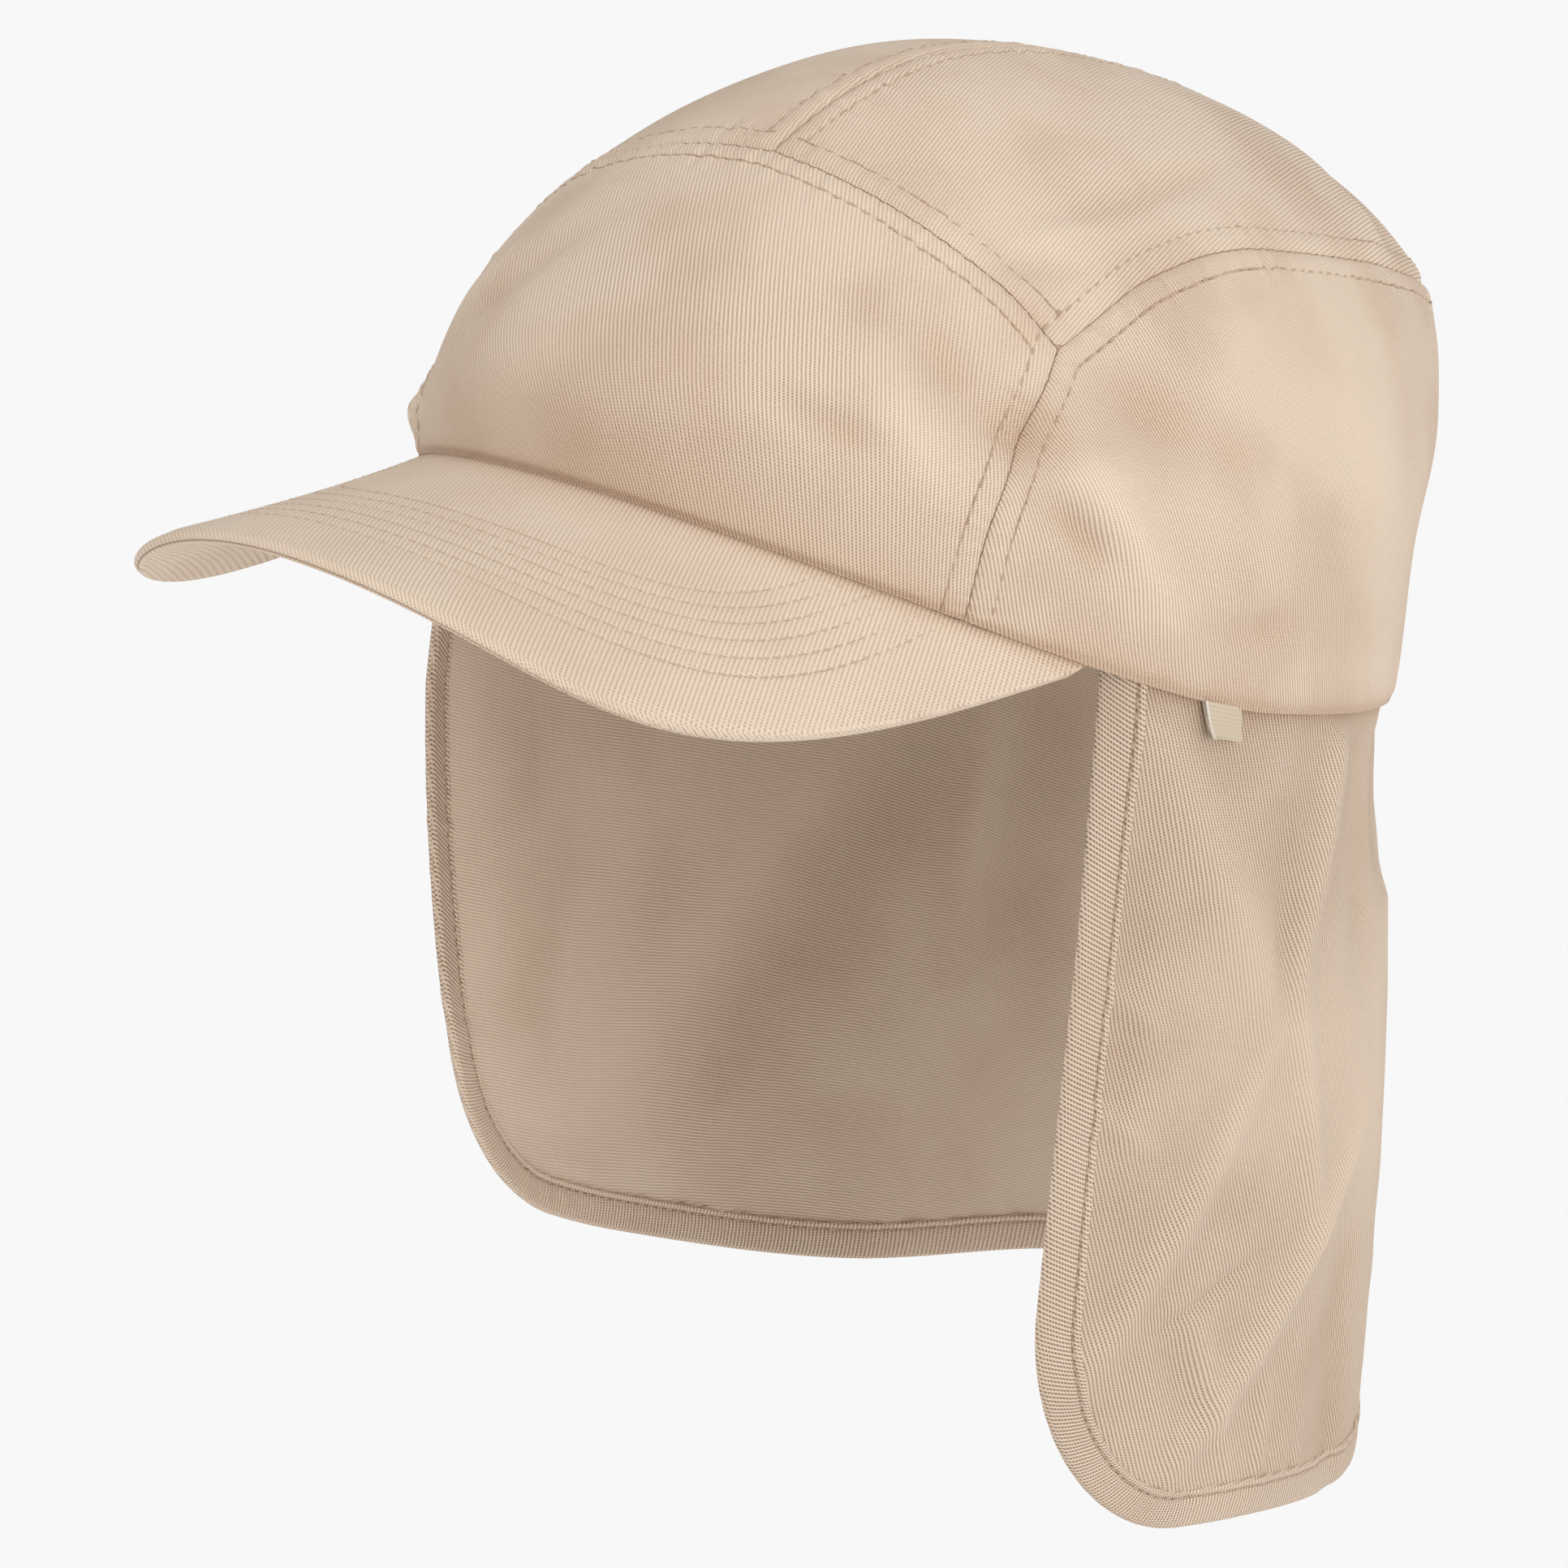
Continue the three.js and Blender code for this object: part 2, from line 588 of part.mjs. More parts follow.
function flapMesh() {
  const rows = flap_row_shares.length;
  const inset = binding_width + piece_gap;
  const edges = [flapEdge(-1, inset, edge_count), flapEdge(1, inset, edge_count)];
  const limit = (edge, share) => {
    for (let i = 1; i < edge.length; i += 1) {
      if (edge[i][1] >= share) {
        const t = (share - edge[i - 1][1]) / Math.max(edge[i][1] - edge[i - 1][1], 1e-6);
        return edge[i - 1][0] + (edge[i][0] - edge[i - 1][0]) * Math.min(Math.max(t, 0), 1);
      }
    }
    return edge[edge.length - 1][0];
  };
  const foot = (place) => {
    return 1 - inset / flapTall(place);
  };
  const spot = (a, i) => {
    const squeeze = flap_row_shares[Math.max(i - 1, 0)];
    const tuck = i === 0 ? -flap_tuck / flap_drop : 0;
    const ends = [corner_width / flapRun(-1) - 1, 1 - corner_width / flapRun(1)];
    for (let turn = 0; turn < settle_turns && squeeze < 1; turn += 1) {
      ends[0] = limit(edges[0], foot(ends[0]) * squeeze);
      ends[1] = limit(edges[1], foot(ends[1]) * squeeze);
    }
    const place = ends[0] + (ends[1] - ends[0]) * a;
    return [place, tuck + foot(place) * squeeze];
  };
  const layer = (depth) => {
    const grid = [];
    for (let i = 0; i <= rows; i += 1) {
      const row = [];
      for (let j = 0; j <= flap_columns; j += 1) {
        const a = j / flap_columns;
        const crowded = a - flap_side_crowding / (2 * Math.PI) * Math.sin(2 * Math.PI * a);
        const p = spot(crowded, i);
        row.push(flapPoint(p[0], p[1], depth));
      }
      grid.push(row);
    }
    return grid;
  };
  const mesh = new THREE.Mesh(sheetSolid(layer(0), layer(flap_wall)), cloth('#cfb8a0'));
  mesh.name = 'neck_flap';
  return mesh;
}

function bindingMesh() {
  const left = [];
  const right = [];
  for (const [hand, list] of [[1, left], [-1, right]]) {
    const lines = binding_section.map((s) => flapEdge(hand, s.width * binding_width, binding_steps));
    for (let i = 0; i <= binding_steps; i += 1) list.push(lines.map((line) => line[i]));
  }
  const path = left.concat(right.slice(0, -1).reverse());
  const half = (binding_wall - flap_wall) / 2;
  const rings = path.map((line) => {
    const puffs = line.map((p, k) => half * binding_section[k].puff);
    const outer = line.map((p, k) => flapPoint(p[0], p[1], -puffs[k]));
    const inner = line.map((p, k) => flapPoint(p[0], p[1], flap_wall + puffs[k]));
    return outer.concat(inner.reverse());
  });
  const mesh = new THREE.Mesh(ringSolid(rings), cloth('#d0b8a2'));
  mesh.name = 'flap_binding';
  return mesh;
}

function labelMesh() {
  const place = (180 - label_angle) / (180 - flap_front_angle_left);
  const rings = [];
  const half = label_width / 2 / flapRun(1);
  for (let i = 0; i <= label_steps; i += 1) {
    const share = (label_seat + (label_drop * i) / label_steps) / flap_drop;
    const lift = -label_lift * (1 + i / label_steps);
    const ring = [];
    for (const s of [-1, 0, 1]) ring.push(flapPoint(place + s * half, share, lift - label_wall));
    for (const s of [1, 0, -1]) ring.push(flapPoint(place + s * half, share, lift));
    rings.push(ring);
  }
  const mesh = new THREE.Mesh(ringSolid(rings), cloth('#dcc9b6'));
  mesh.name = 'side_label';
  return mesh;
}

const cap = new THREE.Group();
cap.name = 'legionnaire_cap';
const crown_panels = [
  { name: 'front_panel', place: frontPlace, columns: 20, rows: 12, colour: '#d6c0aa' },
  { name: 'top_panel_left', place: topPlace(1), columns: 20, rows: 9, colour: '#dcc6b0' },
  { name: 'top_panel_right', place: topPlace(-1), columns: 20, rows: 9, colour: '#dcc6b0' },
  { name: 'side_panel_left', place: sidePlace(1), columns: 24, rows: 9, colour: '#d8c0a8' },
  { name: 'side_panel_right', place: sidePlace(-1), columns: 24, rows: 9, colour: '#d8c0a8' },
];
for (const p of crown_panels) cap.add(panel(p.name, p.place, p.columns, p.rows, p.colour));
cap.add(peakMesh());
cap.add(flapMesh());
cap.add(bindingMesh());
cap.add(labelMesh());

export default cap;
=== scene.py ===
# Legionnaire cap: a five-panel twill crown, a stitched peak and a long bound flap that hangs behind.
import math

import bpy
import numpy as np
from mathutils import Matrix, Vector
from mathutils.kdtree import KDTree


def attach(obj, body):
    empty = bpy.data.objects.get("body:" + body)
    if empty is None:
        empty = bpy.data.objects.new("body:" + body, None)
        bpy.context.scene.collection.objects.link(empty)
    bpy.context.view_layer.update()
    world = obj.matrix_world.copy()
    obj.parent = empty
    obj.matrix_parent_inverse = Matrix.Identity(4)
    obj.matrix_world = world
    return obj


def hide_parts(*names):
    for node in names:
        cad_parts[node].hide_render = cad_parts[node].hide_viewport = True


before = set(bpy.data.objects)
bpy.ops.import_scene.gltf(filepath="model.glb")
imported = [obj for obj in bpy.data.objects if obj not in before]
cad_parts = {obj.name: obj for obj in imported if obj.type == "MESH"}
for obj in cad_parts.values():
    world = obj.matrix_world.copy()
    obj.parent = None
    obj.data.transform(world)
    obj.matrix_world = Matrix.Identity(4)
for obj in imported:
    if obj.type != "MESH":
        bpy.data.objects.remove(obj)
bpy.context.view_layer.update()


# Camera: it stands in front of the cap and to the wearer's left, a little above it, and far enough
# away for a calm perspective. The head opening's middle lies right of the frame's centre and above it.
view_turn = math.radians(39.431)
view_rise = math.radians(23.151)
view_distance = 1.5
view_width = 0.287
middle_right = 0.02251
middle_up = 0.03441
sensor_width = 36

right = Vector((math.cos(view_turn), math.sin(view_turn), 0))
level = Vector((math.sin(view_turn), -math.cos(view_turn), 0))
back = level * math.cos(view_rise) + Vector((0, 0, math.sin(view_rise)))
up = back.cross(right)
target = -(right * middle_right + up * middle_up)
lens = bpy.data.cameras.new("camera")
lens.sensor_width = sensor_width
lens.lens = sensor_width * view_distance / view_width
camera = bpy.data.objects.new("camera", lens)
turned = Matrix((right, up, back)).transposed().to_4x4()
camera.matrix_world = Matrix.Translation(target + back * view_distance) @ turned
bpy.context.scene.collection.objects.link(camera)
bpy.context.scene.camera = camera
bpy.context.scene.view_settings.view_transform = "Standard"


# Front panel: one wide piece of cotton twill over the forehead, sewn to the two top panels and the
# two side panels. Its lower edge is turned under over the peak's seam. The crown's whole form, its
# seams and its cloth are worked out here, because this panel is the first to need them.
opening_half_length = 0.102
opening_half_width = 0.0859
crown_height = 0.1025
crown_tilt = math.radians(19.1)
front_arch_height = 0.0166
front_arch_half_angle = 87
front_arch_bluntness = 0.75
front_arch_fade = 1.5
crown_wall = 0.0013
dent_depth = 0.0032
dent_share_at_hem = 0.25
dent_ease_rise = 8
least_girth = 0.05
corner_angle = 52
corner_rise = 32
back_angle = 172
back_rise = 40
lowest_rise = -6

# Columns: rise angle, then front, back and side reach and backward shift as shares of the opening
crown_rows = np.array([
    (0, 1, 1, 1, 0),
    (15, 1.034, 1.036, 0.975, -0.01),
    (30, 0.938, 1.032, 0.888, 0.035),
    (45, 0.792, 0.962, 0.738, 0.088),
    (60, 0.598, 0.748, 0.5, 0.094),
    (75, 0.335, 0.424, 0.26, 0.075),
    (90, 0, 0, 0, 0.059),
]).T

# Columns: share of the side seam's rise, angle round the crown
side_seam_rows = np.array([(0, 47), (0.25, 48.6), (0.5, 50.4), (0.75, 51.5), (1, 52)]).T

# Columns: angle round the crown, rise of the seam over the front panel
front_seam_rows = np.array([(0, 48), (12, 46.8), (24, 44.4), (35, 40.8), (44, 37), (52, 32)]).T

# Columns: angle round the crown, rise of the seam along a side panel
long_seam_rows = np.array([
    (52, 32), (60, 41), (68, 45.6), (79, 48.8), (94, 49.6), (121, 48), (150, 43.5), (180, 40),
]).T

# Columns: angle, rise, half length and half width as shares of the crown's height, turn in degrees,
# depth as a share of dent_depth; the last ones are small creases that only the cloth shows
crown_dents = [
    (52, 22.5, 0.08, 0.07, 0, -1.25),
    (39, 28, 0.12, 0.055, -51, -0.8),
    (66, 27.5, 0.14, 0.085, -25, -1.05),
    (64.5, 14, 0.17, 0.055, -53, 0.85),
    (102, 25, 0.2, 0.08, -70, 0.31),
    (39, 17.5, 0.12, 0.055, -57, 0.5),
    (-58, 4, 0.15, 0.08, 0, 1.75),
    (-48, 16, 0.2, 0.12, 0, -0.75),
    (-72, 28, 0.17, 0.12, -15, -0.38),
    (-104, 22, 0.19, 0.1, 65, 0.38),
    (131, 15, 0.17, 0.15, 0, -0.53),
    (180, 20, 0.2, 0.12, 0, -0.45),
    (59.5, 13.5, 0.07, 0.035, -38, -0.75),
    (29, 17, 0.1, 0.035, -16, -0.45),
    (27, 33, 0.08, 0.04, -69, -0.3),
    (56, 51, 0.12, 0.035, 42, -0.5),
    (50, 47, 0.1, 0.03, 42, 0.35),
    (75, 58, 0.13, 0.035, 35, -0.4),
    (47, 41, 0.06, 0.03, 10, -0.4),
    (-23, 23, 0.17, 0.04, 63, -0.35),
    (-33, 22, 0.15, 0.04, 63, 0.3),
    (84, 8, 0.09, 0.03, 8, -0.3),
    (122, 54, 0.12, 0.04, 35, 0.45),
    (136, 57, 0.14, 0.04, 40, -0.45),
    (-128, 55, 0.14, 0.05, -35, -0.45),
]


def curve(keys, values, at):
    """A smooth curve through the points (keys, values), read at each value of at."""
    gap = np.diff(keys)
    slope = np.diff(values) / gap
    inner = (slope[:-1] * gap[1:] + slope[1:] * gap[:-1]) / (gap[1:] + gap[:-1])
    blend = np.concatenate([slope[:1], inner, slope[-1:]])
    at = np.clip(at, keys[0], keys[-1])
    i = np.clip(np.searchsorted(keys, at) - 1, 0, len(keys) - 2)
    t = (at - keys[i]) / gap[i]
    level_part = values[i] * (1 + t * t * (2 * t - 3)) + values[i + 1] * t * t * (3 - 2 * t)
    return level_part + gap[i] * t * (1 - t) * (blend[i] * (1 - t) - blend[i + 1] * t)


def lean(points):
    """The crown leans back on the head: its own upright is turned about the line from ear to ear."""
    c, s = math.cos(crown_tilt), math.sin(crown_tilt)
    x, y, z = points[..., 0], points[..., 1], points[..., 2]
    return np.stack([x, y * c + z * s, z * c - y * s], -1)


def unit(vectors):
    """The same directions with a length of one."""
    return vectors / np.maximum(np.linalg.norm(vectors, axis=-1, keepdims=True), 1e-12)


def crown_base(angle, rise):
    """Point of the smooth crown; angle runs from the middle front towards the wearer's left."""
    c, s = np.cos(np.radians(angle)), np.sin(np.radians(angle))
    height = np.sin(np.radians(rise))
    rises, front, behind, side, shift = crown_rows
    reach = np.where(c > 0, curve(rises, front, rise), curve(rises, behind, rise)) * opening_half_length
    aside = curve(rises, side, rise) * opening_half_width
    middle = curve(rises, shift, rise) * opening_half_length
    round_front = np.minimum(np.abs((angle + 540) % 360 - 180) / front_arch_half_angle, 1)
    arch = front_arch_height * (0.5 + 0.5 * np.cos(np.pi * round_front)) ** front_arch_bluntness
    z = crown_height * height + arch * np.maximum(1 - height, 0) ** front_arch_fade
    return np.stack([aside * s, middle - reach * c, z], -1)


def map_point(angle, rise):
    """Place on the crown's flat map, whose middle is the top and whose rim is the lower edge."""
    return np.stack([(90 - rise) * np.sin(np.radians(angle)), (rise - 90) * np.cos(np.radians(angle))], -1)


def crown_dent(angle, rise):
    """Sum of the dents at a place, as a share of dent_depth; they fade towards the hem."""
    total = np.zeros(np.shape(angle))
    girth = np.maximum(np.cos(np.radians(rise)), least_girth)
    for dent_angle, dent_rise, along, across, turn, depth in crown_dents:
        aside = (angle - dent_angle + 540) % 360 - 180
        u = np.radians(aside) * opening_half_width * girth
        v = np.radians(rise - dent_rise) * crown_height
        c, s = math.cos(math.radians(turn)), math.sin(math.radians(turn))
        a = (u * c + v * s) / (along * crown_height)
        b = (v * c - u * s) / (across * crown_height)
        total += depth * np.exp(-a * a - b * b)
    return total * np.minimum(1, dent_share_at_hem + rise / dent_ease_rise)


def crown_spot(place):
    """Upright crown point, its outward direction and its dent for places on the map."""
    def at(x, y):
        return crown_base(np.degrees(np.arctan2(x, -y)), np.maximum(90 - np.hypot(x, y), lowest_rise))
    x, y = place[..., 0], place[..., 1]
    step = 0.4
    across = at(x + step, y) - at(x - step, y)
    along = at(x, y + step) - at(x, y - step)
    outward = unit(np.cross(across, along))
    dent = crown_dent(np.degrees(np.arctan2(x, -y)), 90 - np.hypot(x, y))
    return at(x, y), outward, dent


# Columns: height, pace and share of the seed of the three waves that make an uneven ripple
ripple_waves = ((1, 1, 1), (0.7, 1.63, 2.1), (0.5, 2.71, 1))
ripple_scale = 1.7


def uneven(s, wave, seed):
    """A smooth, irregular ripple between about -1 and 1 along a length s."""
    turn = 2 * np.pi * s / wave
    waves = [high * np.sin(pace * turn + share * seed) for high, pace, share in ripple_waves]
    return sum(waves) / ripple_scale


# Seams as lines of places on the map, front to back, their points so close that distances come out true
side_seam_points = 300
long_seam_points = 1100
front_seam_points = 450
top_seam_points = 900
back_seam_points = 350
side_share = np.linspace(0, 1, side_seam_points)
side_line = map_point(curve(*side_seam_rows, side_share), side_share * corner_rise)
long_angle = np.linspace(corner_angle, 180, long_seam_points)
long_line = map_point(long_angle, curve(*long_seam_rows, long_angle))
front_angle = np.linspace(0, corner_angle, front_seam_points)
front_line = map_point(front_angle, curve(*front_seam_rows, front_angle))
top_places = np.linspace(front_line[0, 1], long_line[-1, 1], top_seam_points)
top_line = np.stack([np.zeros(top_seam_points), top_places], -1)
back_rises = np.linspace(back_rise, 0, back_seam_points)
back_line = map_point(np.full(back_seam_points, 180.0), back_rises)
outer_line = np.concatenate([side_line, long_line[1:]])
mirror = np.array([-1, 1])
seam_lines = [outer_line, outer_line * mirror, front_line, front_line * mirror, top_line, back_line]

# Every seam's points, with the run along the seam at each; the shift keeps two seams from puckering alike
pucker_shift = 0.01
seam_tree = KDTree(sum(len(line) for line in seam_lines))
seam_lengths = []
for line in seam_lines:
    spots = crown_spot(line)[0]
    steps = np.linalg.norm(np.diff(spots, axis=0), axis=1)
    for spot in spots:
        seam_tree.insert(Vector(spot), len(seam_lengths))
        seam_lengths.append(0.0)
    seam_run = np.concatenate([[0], np.cumsum(steps)])
    seam_lengths[-len(line):] = seam_run + len(seam_lengths) * pucker_shift
seam_tree.balance()

# Relief that the sewing gives the cloth round a seam and at the hem, in metres
seam_dip = 0.0005
seam_half_width = 0.0007
allowance_lift = 0.0003
allowance_start = 0.0003
allowance_start_ease = 0.0013
allowance_end = 0.0058
allowance_end_ease = 0.0014
topstitch_offset = 0.0045
stitch_pitch = 0.0031
row_dip = 0.0003
row_dip_half_width = 0.0006
pucker_height = 0.00036
pucker_wave = 0.0062
pucker_offset = 0.004
pucker_half_width = 0.0032
pucker_patch_share = 0.45
pucker_patch_wave = 0.041
seam_pucker_half_width = 0.002
seam_pucker_wave = 0.0031
hem_roll = 0.0016
hem_dip = 0.0005


def sewn_relief(points, rise_share):
    """Height that sewing gives the cloth, and how far each point lies from a seam and along it."""
    found = [seam_tree.find(Vector(p)) for p in points]
    distance = np.array([f[2] for f in found])
    along = np.array([seam_lengths[f[1]] for f in found])
    lift = -seam_dip * np.exp(-(distance / seam_half_width) ** 2)
    shoulder = np.clip((distance - allowance_start) / allowance_start_ease, 0, 1)
    shoulder = shoulder * np.clip((allowance_end - distance) / allowance_end_ease, 0, 1)
    lift += allowance_lift * shoulder
    lift -= row_dip * np.exp(-((distance - topstitch_offset) / row_dip_half_width) ** 2)
    near_row = np.exp(-((distance - pucker_offset) / pucker_half_width) ** 2)
    patchy = 1 - pucker_patch_share + pucker_patch_share * uneven(along, pucker_patch_wave, seed=1.3)
    lift += pucker_height * near_row * patchy * uneven(along, pucker_wave, seed=0.4)
    at_seam = np.exp(-(distance / seam_pucker_half_width) ** 2)
    lift += 0.5 * pucker_height * at_seam * uneven(along, seam_pucker_wave, seed=2.2)
    from_hem = rise_share * crown_height
    lift -= hem_dip * np.clip(1 - from_hem / hem_roll, 0, 1) ** 2
    return lift, distance, along


def cloth_grid(name, columns, rows, place):
    """A flat grid moved to place(a, b), with its weave's map, its folds and its sewing kept on it."""
    bpy.ops.object.select_all(action="DESELECT")
    bpy.ops.mesh.primitive_grid_add(x_subdivisions=columns, y_subdivisions=rows, size=2)
    piece = bpy.context.object
    piece.name = name
    mesh = piece.data
    flat = np.empty(len(mesh.vertices) * 3)
    mesh.vertices.foreach_get("co", flat)
    flat = flat.reshape(-1, 3)
    points, weave, fold, sewing = place((flat[:, 0] + 1) / 2, (flat[:, 1] + 1) / 2)
    mesh.vertices.foreach_set("co", points.ravel())
    corner = np.empty(len(mesh.loops), dtype=np.int32)
    mesh.loops.foreach_get("vertex_index", corner)
    mesh.uv_layers[0].name = "weave"
    mesh.uv_layers[0].data.foreach_set("uv", weave[corner].ravel())
    mesh.attributes.new("fold", "FLOAT", "POINT").data.foreach_set("value", fold)
    marks = np.stack(sewing, -1).astype(np.float32)
    mesh.attributes.new("sewing", "FLOAT_VECTOR", "POINT").data.foreach_set("vector", marks.ravel())
    mesh.update()
    return piece


def pick(piece):
    """Selects one piece alone and makes it the active one."""
    bpy.ops.object.select_all(action="DESELECT")
    piece.select_set(True)
    bpy.context.view_layer.objects.active = piece


# Edges that turn more than this stay crisp on a thickened cloth
crisp_edge_angle = math.radians(55)


def thicken(piece, wall, outward_from, inner_material=0):
    """Turns a cloth sheet's faces away from a point and gives it its wall on the inner side."""
    mesh = piece.data
    facing = sum((Vector(f.center) - outward_from).dot(f.normal) for f in mesh.polygons)
    if facing < 0:
        mesh.flip_normals()
    solid = piece.modifiers.new("wall", "SOLIDIFY")
    solid.thickness = wall
    solid.offset = -1
    solid.material_offset = inner_material
    pick(piece)
    bpy.ops.object.modifier_apply(modifier="wall")
    bpy.ops.object.shade_smooth_by_angle(angle=crisp_edge_angle)


# Radius that flattens a panel, its gap from the seam lines and its reach past the hem as shares, and
# the painted shade along the hem
crown_radius = 0.1
panel_inset = 0.0004
hem_overlap = 0.008
hem_shade_height = 0.0016
hem_shade_depth = 1.3


def flat_weave(points, outward, middle):
    """Flat places of a panel's points, measured from its middle to the right and up, seen from outside."""
    normal = outward[middle]
    upward = unit(np.array([0, 0, 1]) - normal * normal[2])
    chord = points - points[middle]
    size = np.linalg.norm(chord, axis=1)
    arc = 2 * crown_radius * np.arcsin(np.minimum(size / 2 / crown_radius, 1))
    flat = unit(chord - (chord @ normal)[:, None] * normal) * arc[:, None]
    return np.stack([flat @ np.cross(upward, normal), flat @ upward], -1)


def crown_panel(name, columns, rows, rule, lower_edge=True):
    """A panel of the crown from a rule that gives a place on the map for two shares."""
    middle = (rows // 2) * (columns + 1) + columns // 2

    def place(a, b):
        start = -hem_overlap if lower_edge else panel_inset
        spots = rule(panel_inset + a * (1 - 2 * panel_inset), start + b * (1 - panel_inset - start))
        base, outward, dent = crown_spot(spots)
        rise_share = np.radians(90 - np.hypot(spots[:, 0], spots[:, 1]))
        lift, distance, along = sewn_relief(base, rise_share)
        points = lean(base + outward * (dent * dent_depth + lift)[:, None])
        from_hem = np.maximum(rise_share * crown_height, 0)
        # The fold attribute carries the dents, which the twill paints as highlight and shade, and the
        # painted shade along the hem
        fold = dent - hem_shade_depth * np.exp(-from_hem / hem_shade_height)
        sewing = (np.abs(distance - topstitch_offset), along, distance)
        return points, flat_weave(base, outward, middle), fold, sewing

    piece = cloth_grid(name, columns, rows, place)
    thicken(piece, crown_wall, Vector((0, 0, 0)))
    return piece


def front_rule(a, b):
    """Place on the map of the front panel for its shares across and up."""
    across = 2 * a - 1
    rise = b * curve(*front_seam_rows, np.abs(across) * corner_angle)
    return map_point(across * curve(*side_seam_rows, b), rise)


# Look of every twill, with painted highlight on ridges and painted shade in hollows, furrows, seams and
# stitch rows; the shares and gains are of the cloth's own colour
twill_roughness = 0.92
twill_gloss = 0.18
twill_fuzz = 0.12
twill_fuzz_roughness = 0.5
blotch_scale = 38
patch_scale = 17
fibre_scale = 2600
band_pitch = math.pi / 10
band_detail_scale = 0.35
rib_waver = 0.9
dot_waver = 0.6
dot_spacing = 0.62
dot_turn = 68
furrow_shade_by_fold = 0.3
hollow_painted_shade = 0.65
ridge_painted_highlight = 0.8
ridge_highlight_gain = 1.1
fibre_gain = 1.14
furrow_shade_shares = (0.52, 0.40, 0.31)
furrow_shade_strength = 0.68
sewn_shade_shares = (0.46, 0.34, 0.27)
fibre_height = 0.35
twill_bump = 0.55
furrow_depth_share = 0.28

# Ramps of the twill: input from and to, then the output at either end; the last gives its input alone
furrow_ramp = (0.02, 0.62, 1, 0)
dot_ramp = (0.15, 0.8, 1, 0.3)
patch_ramp = (0.36, 0.6, 0.62, 1.0)
blotch_ramp = (0.38, 0.7, 0, 0.5)
fibre_ramp = (0.45, 0.75, 0, 0.35)
stitch_beat_ramp = (-0.5, 0.3, 0.45, 1)
seam_ramp = (0.00006, 0.00024, 0.8, 0)
seam_fibre_ramp = (0.3, 0.6, 0.7, 1)
under_edge_ramp = (-3, -1.4, 0.65, 0)
row_shade_reach = (0.0001, 0.0004)


